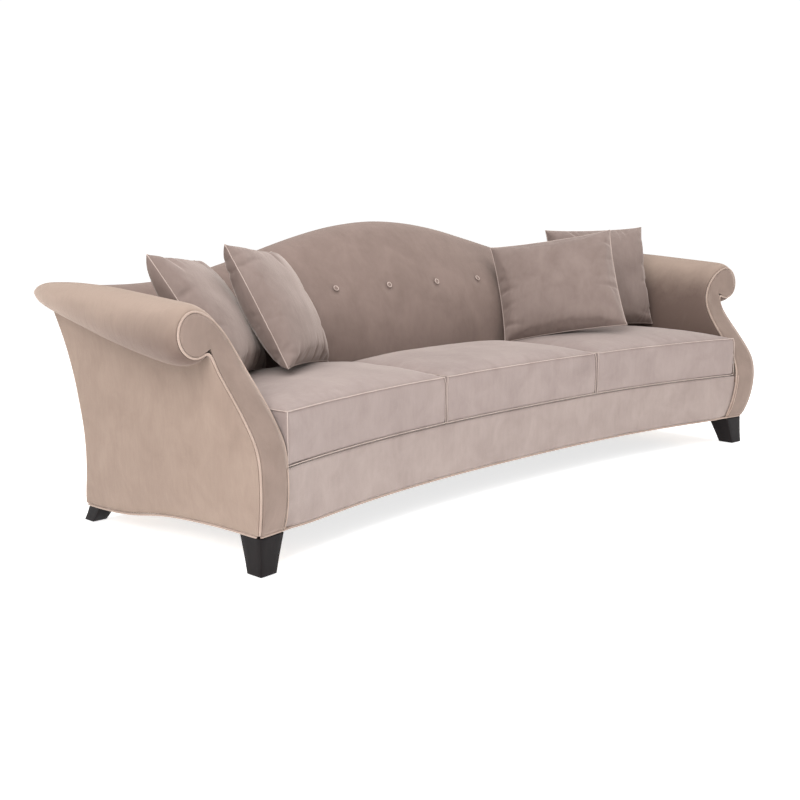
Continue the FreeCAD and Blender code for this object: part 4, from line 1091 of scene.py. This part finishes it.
# %% Stand a pillow in its place
PILLOW_THICK = 0.165


def turned(turn, lean, roll):
    """The pillow's right, top and facing directions from its three angles."""
    a, b, g = math.radians(turn), math.radians(lean), math.radians(roll)
    across = Vector((math.cos(a), math.sin(a), 0.0))
    facing = Vector((math.sin(a), -math.cos(a), 0.0))
    up = -facing * math.sin(b) + Vector((0.0, 0.0, math.cos(b)))
    normal = facing * math.cos(b) + Vector((0.0, 0.0, math.sin(b)))
    right = math.cos(g) * across + math.sin(g) * up
    top = -math.sin(g) * across + math.cos(g) * up
    return right, top, normal


def sized(spots, width, height):
    """The pillow's points centred and brought to its true size."""
    size = spots.max(axis=0) - spots.min(axis=0)
    print("filled size", [round(float(s), 3) for s in size])
    spots = spots - (spots.max(axis=0) + spots.min(axis=0)) * 0.5
    return spots * np.array([width, height, PILLOW_THICK]) / size


def stood(spots, name, turn, lean, roll):
    """The pillow's points turned by its three angles and set down in its CAD box."""
    placed = spots @ np.array(turned(turn, lean, roll))
    low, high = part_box(name)
    centre = (np.array(low) + np.array(high)) * 0.5
    placed += centre - (placed.max(axis=0) + placed.min(axis=0)) * 0.5
    placed[:, 2] += low.z - placed[:, 2].min()
    return placed


print("pillows are", PILLOW_THICK, "m thick")

# %% [markdown]
# ## Four pillows
# Two pillows stand at each end of the seat, the front one leaning on the rear one, and all four
# face its middle. One loop fills, tucks, sizes and places them, and sews a knife seam round each.

# %% Make the throw pillows
PILLOW_PRESSURE = 4.0
PILLOW_STRETCH = 15.0
PILLOW_STIFFNESS = 0.4
PILLOW_GROWTH = 0.010
PILLOW_SEAM_RADIUS = 0.0013
# turn, lean and roll in degrees, width and height in metres, and seed
PILLOW_PLACES = {
    "pillow_left_rear": (41.0, 34.0, -6.0, 0.480, 0.415, 1),
    "pillow_left_front": (36.3, 28.5, -5.7, 0.490, 0.415, 2),
    "pillow_right_rear": (-23.0, 13.3, 1.0, 0.470, 0.415, 3),
    "pillow_right_front": (-50.8, 23.4, 9.2, 0.480, 0.400, 4),
}
for name, (turn, lean, roll, width, height, seed) in PILLOW_PLACES.items():
    bag, u, v, side_up = flat_pillow(name + "_cloth", seed)
    before = points_of(bag)
    fill_bag(bag, PILLOW_PRESSURE, PILLOW_STRETCH, PILLOW_STIFFNESS)
    move_points(bag, held_back(before, points_of(bag), PILLOW_GROWTH))
    spots = press_tucks(sized(points_of(bag), width, height), u, v, seed)
    placed = stood(spots, name, turn, lean, roll)
    move_points(bag, placed)
    face = np.where(side_up)[0]
    order = face[rim_order(u[face] * 0.5 + 0.5, v[face] * 0.5 + 0.5)]
    seam = sew_seam(name + "_seam", placed[order], PILLOW_SEAM_RADIUS)
    hang(seam, name, "pillow_cloth", highlight_seam_velvet)
    finish(bag, "SUBSURF", levels=1, render_levels=1)
    bpy.ops.object.shade_smooth()
    hang(bag, name, "pillow_cloth", shaded_pillow_velvet, name)
    print(bag.name, len(bag.data.polygons), "faces")

# %% [markdown]
# ## Cloths that are seldom seen
# A plain deck cloth lies under the cushions, and a black dust cloth closes the seat from below.
# They come into view when a cushion is lifted or the sofa is turned over, so they are rounded
# like the covers, with fewer faces.

# %% Round the deck cloth and the dust cloth
for node_name, finish_used in (("deck_cover", deck_cloth), ("dust_cover", dust_cloth)):
    sheet = rounded_copy(node_name, node_name + "_cloth", 2)
    hang(sheet, "base", slot_of[node_name], finish_used, node_name)
    print(sheet.name, len(sheet.data.polygons), "faces")
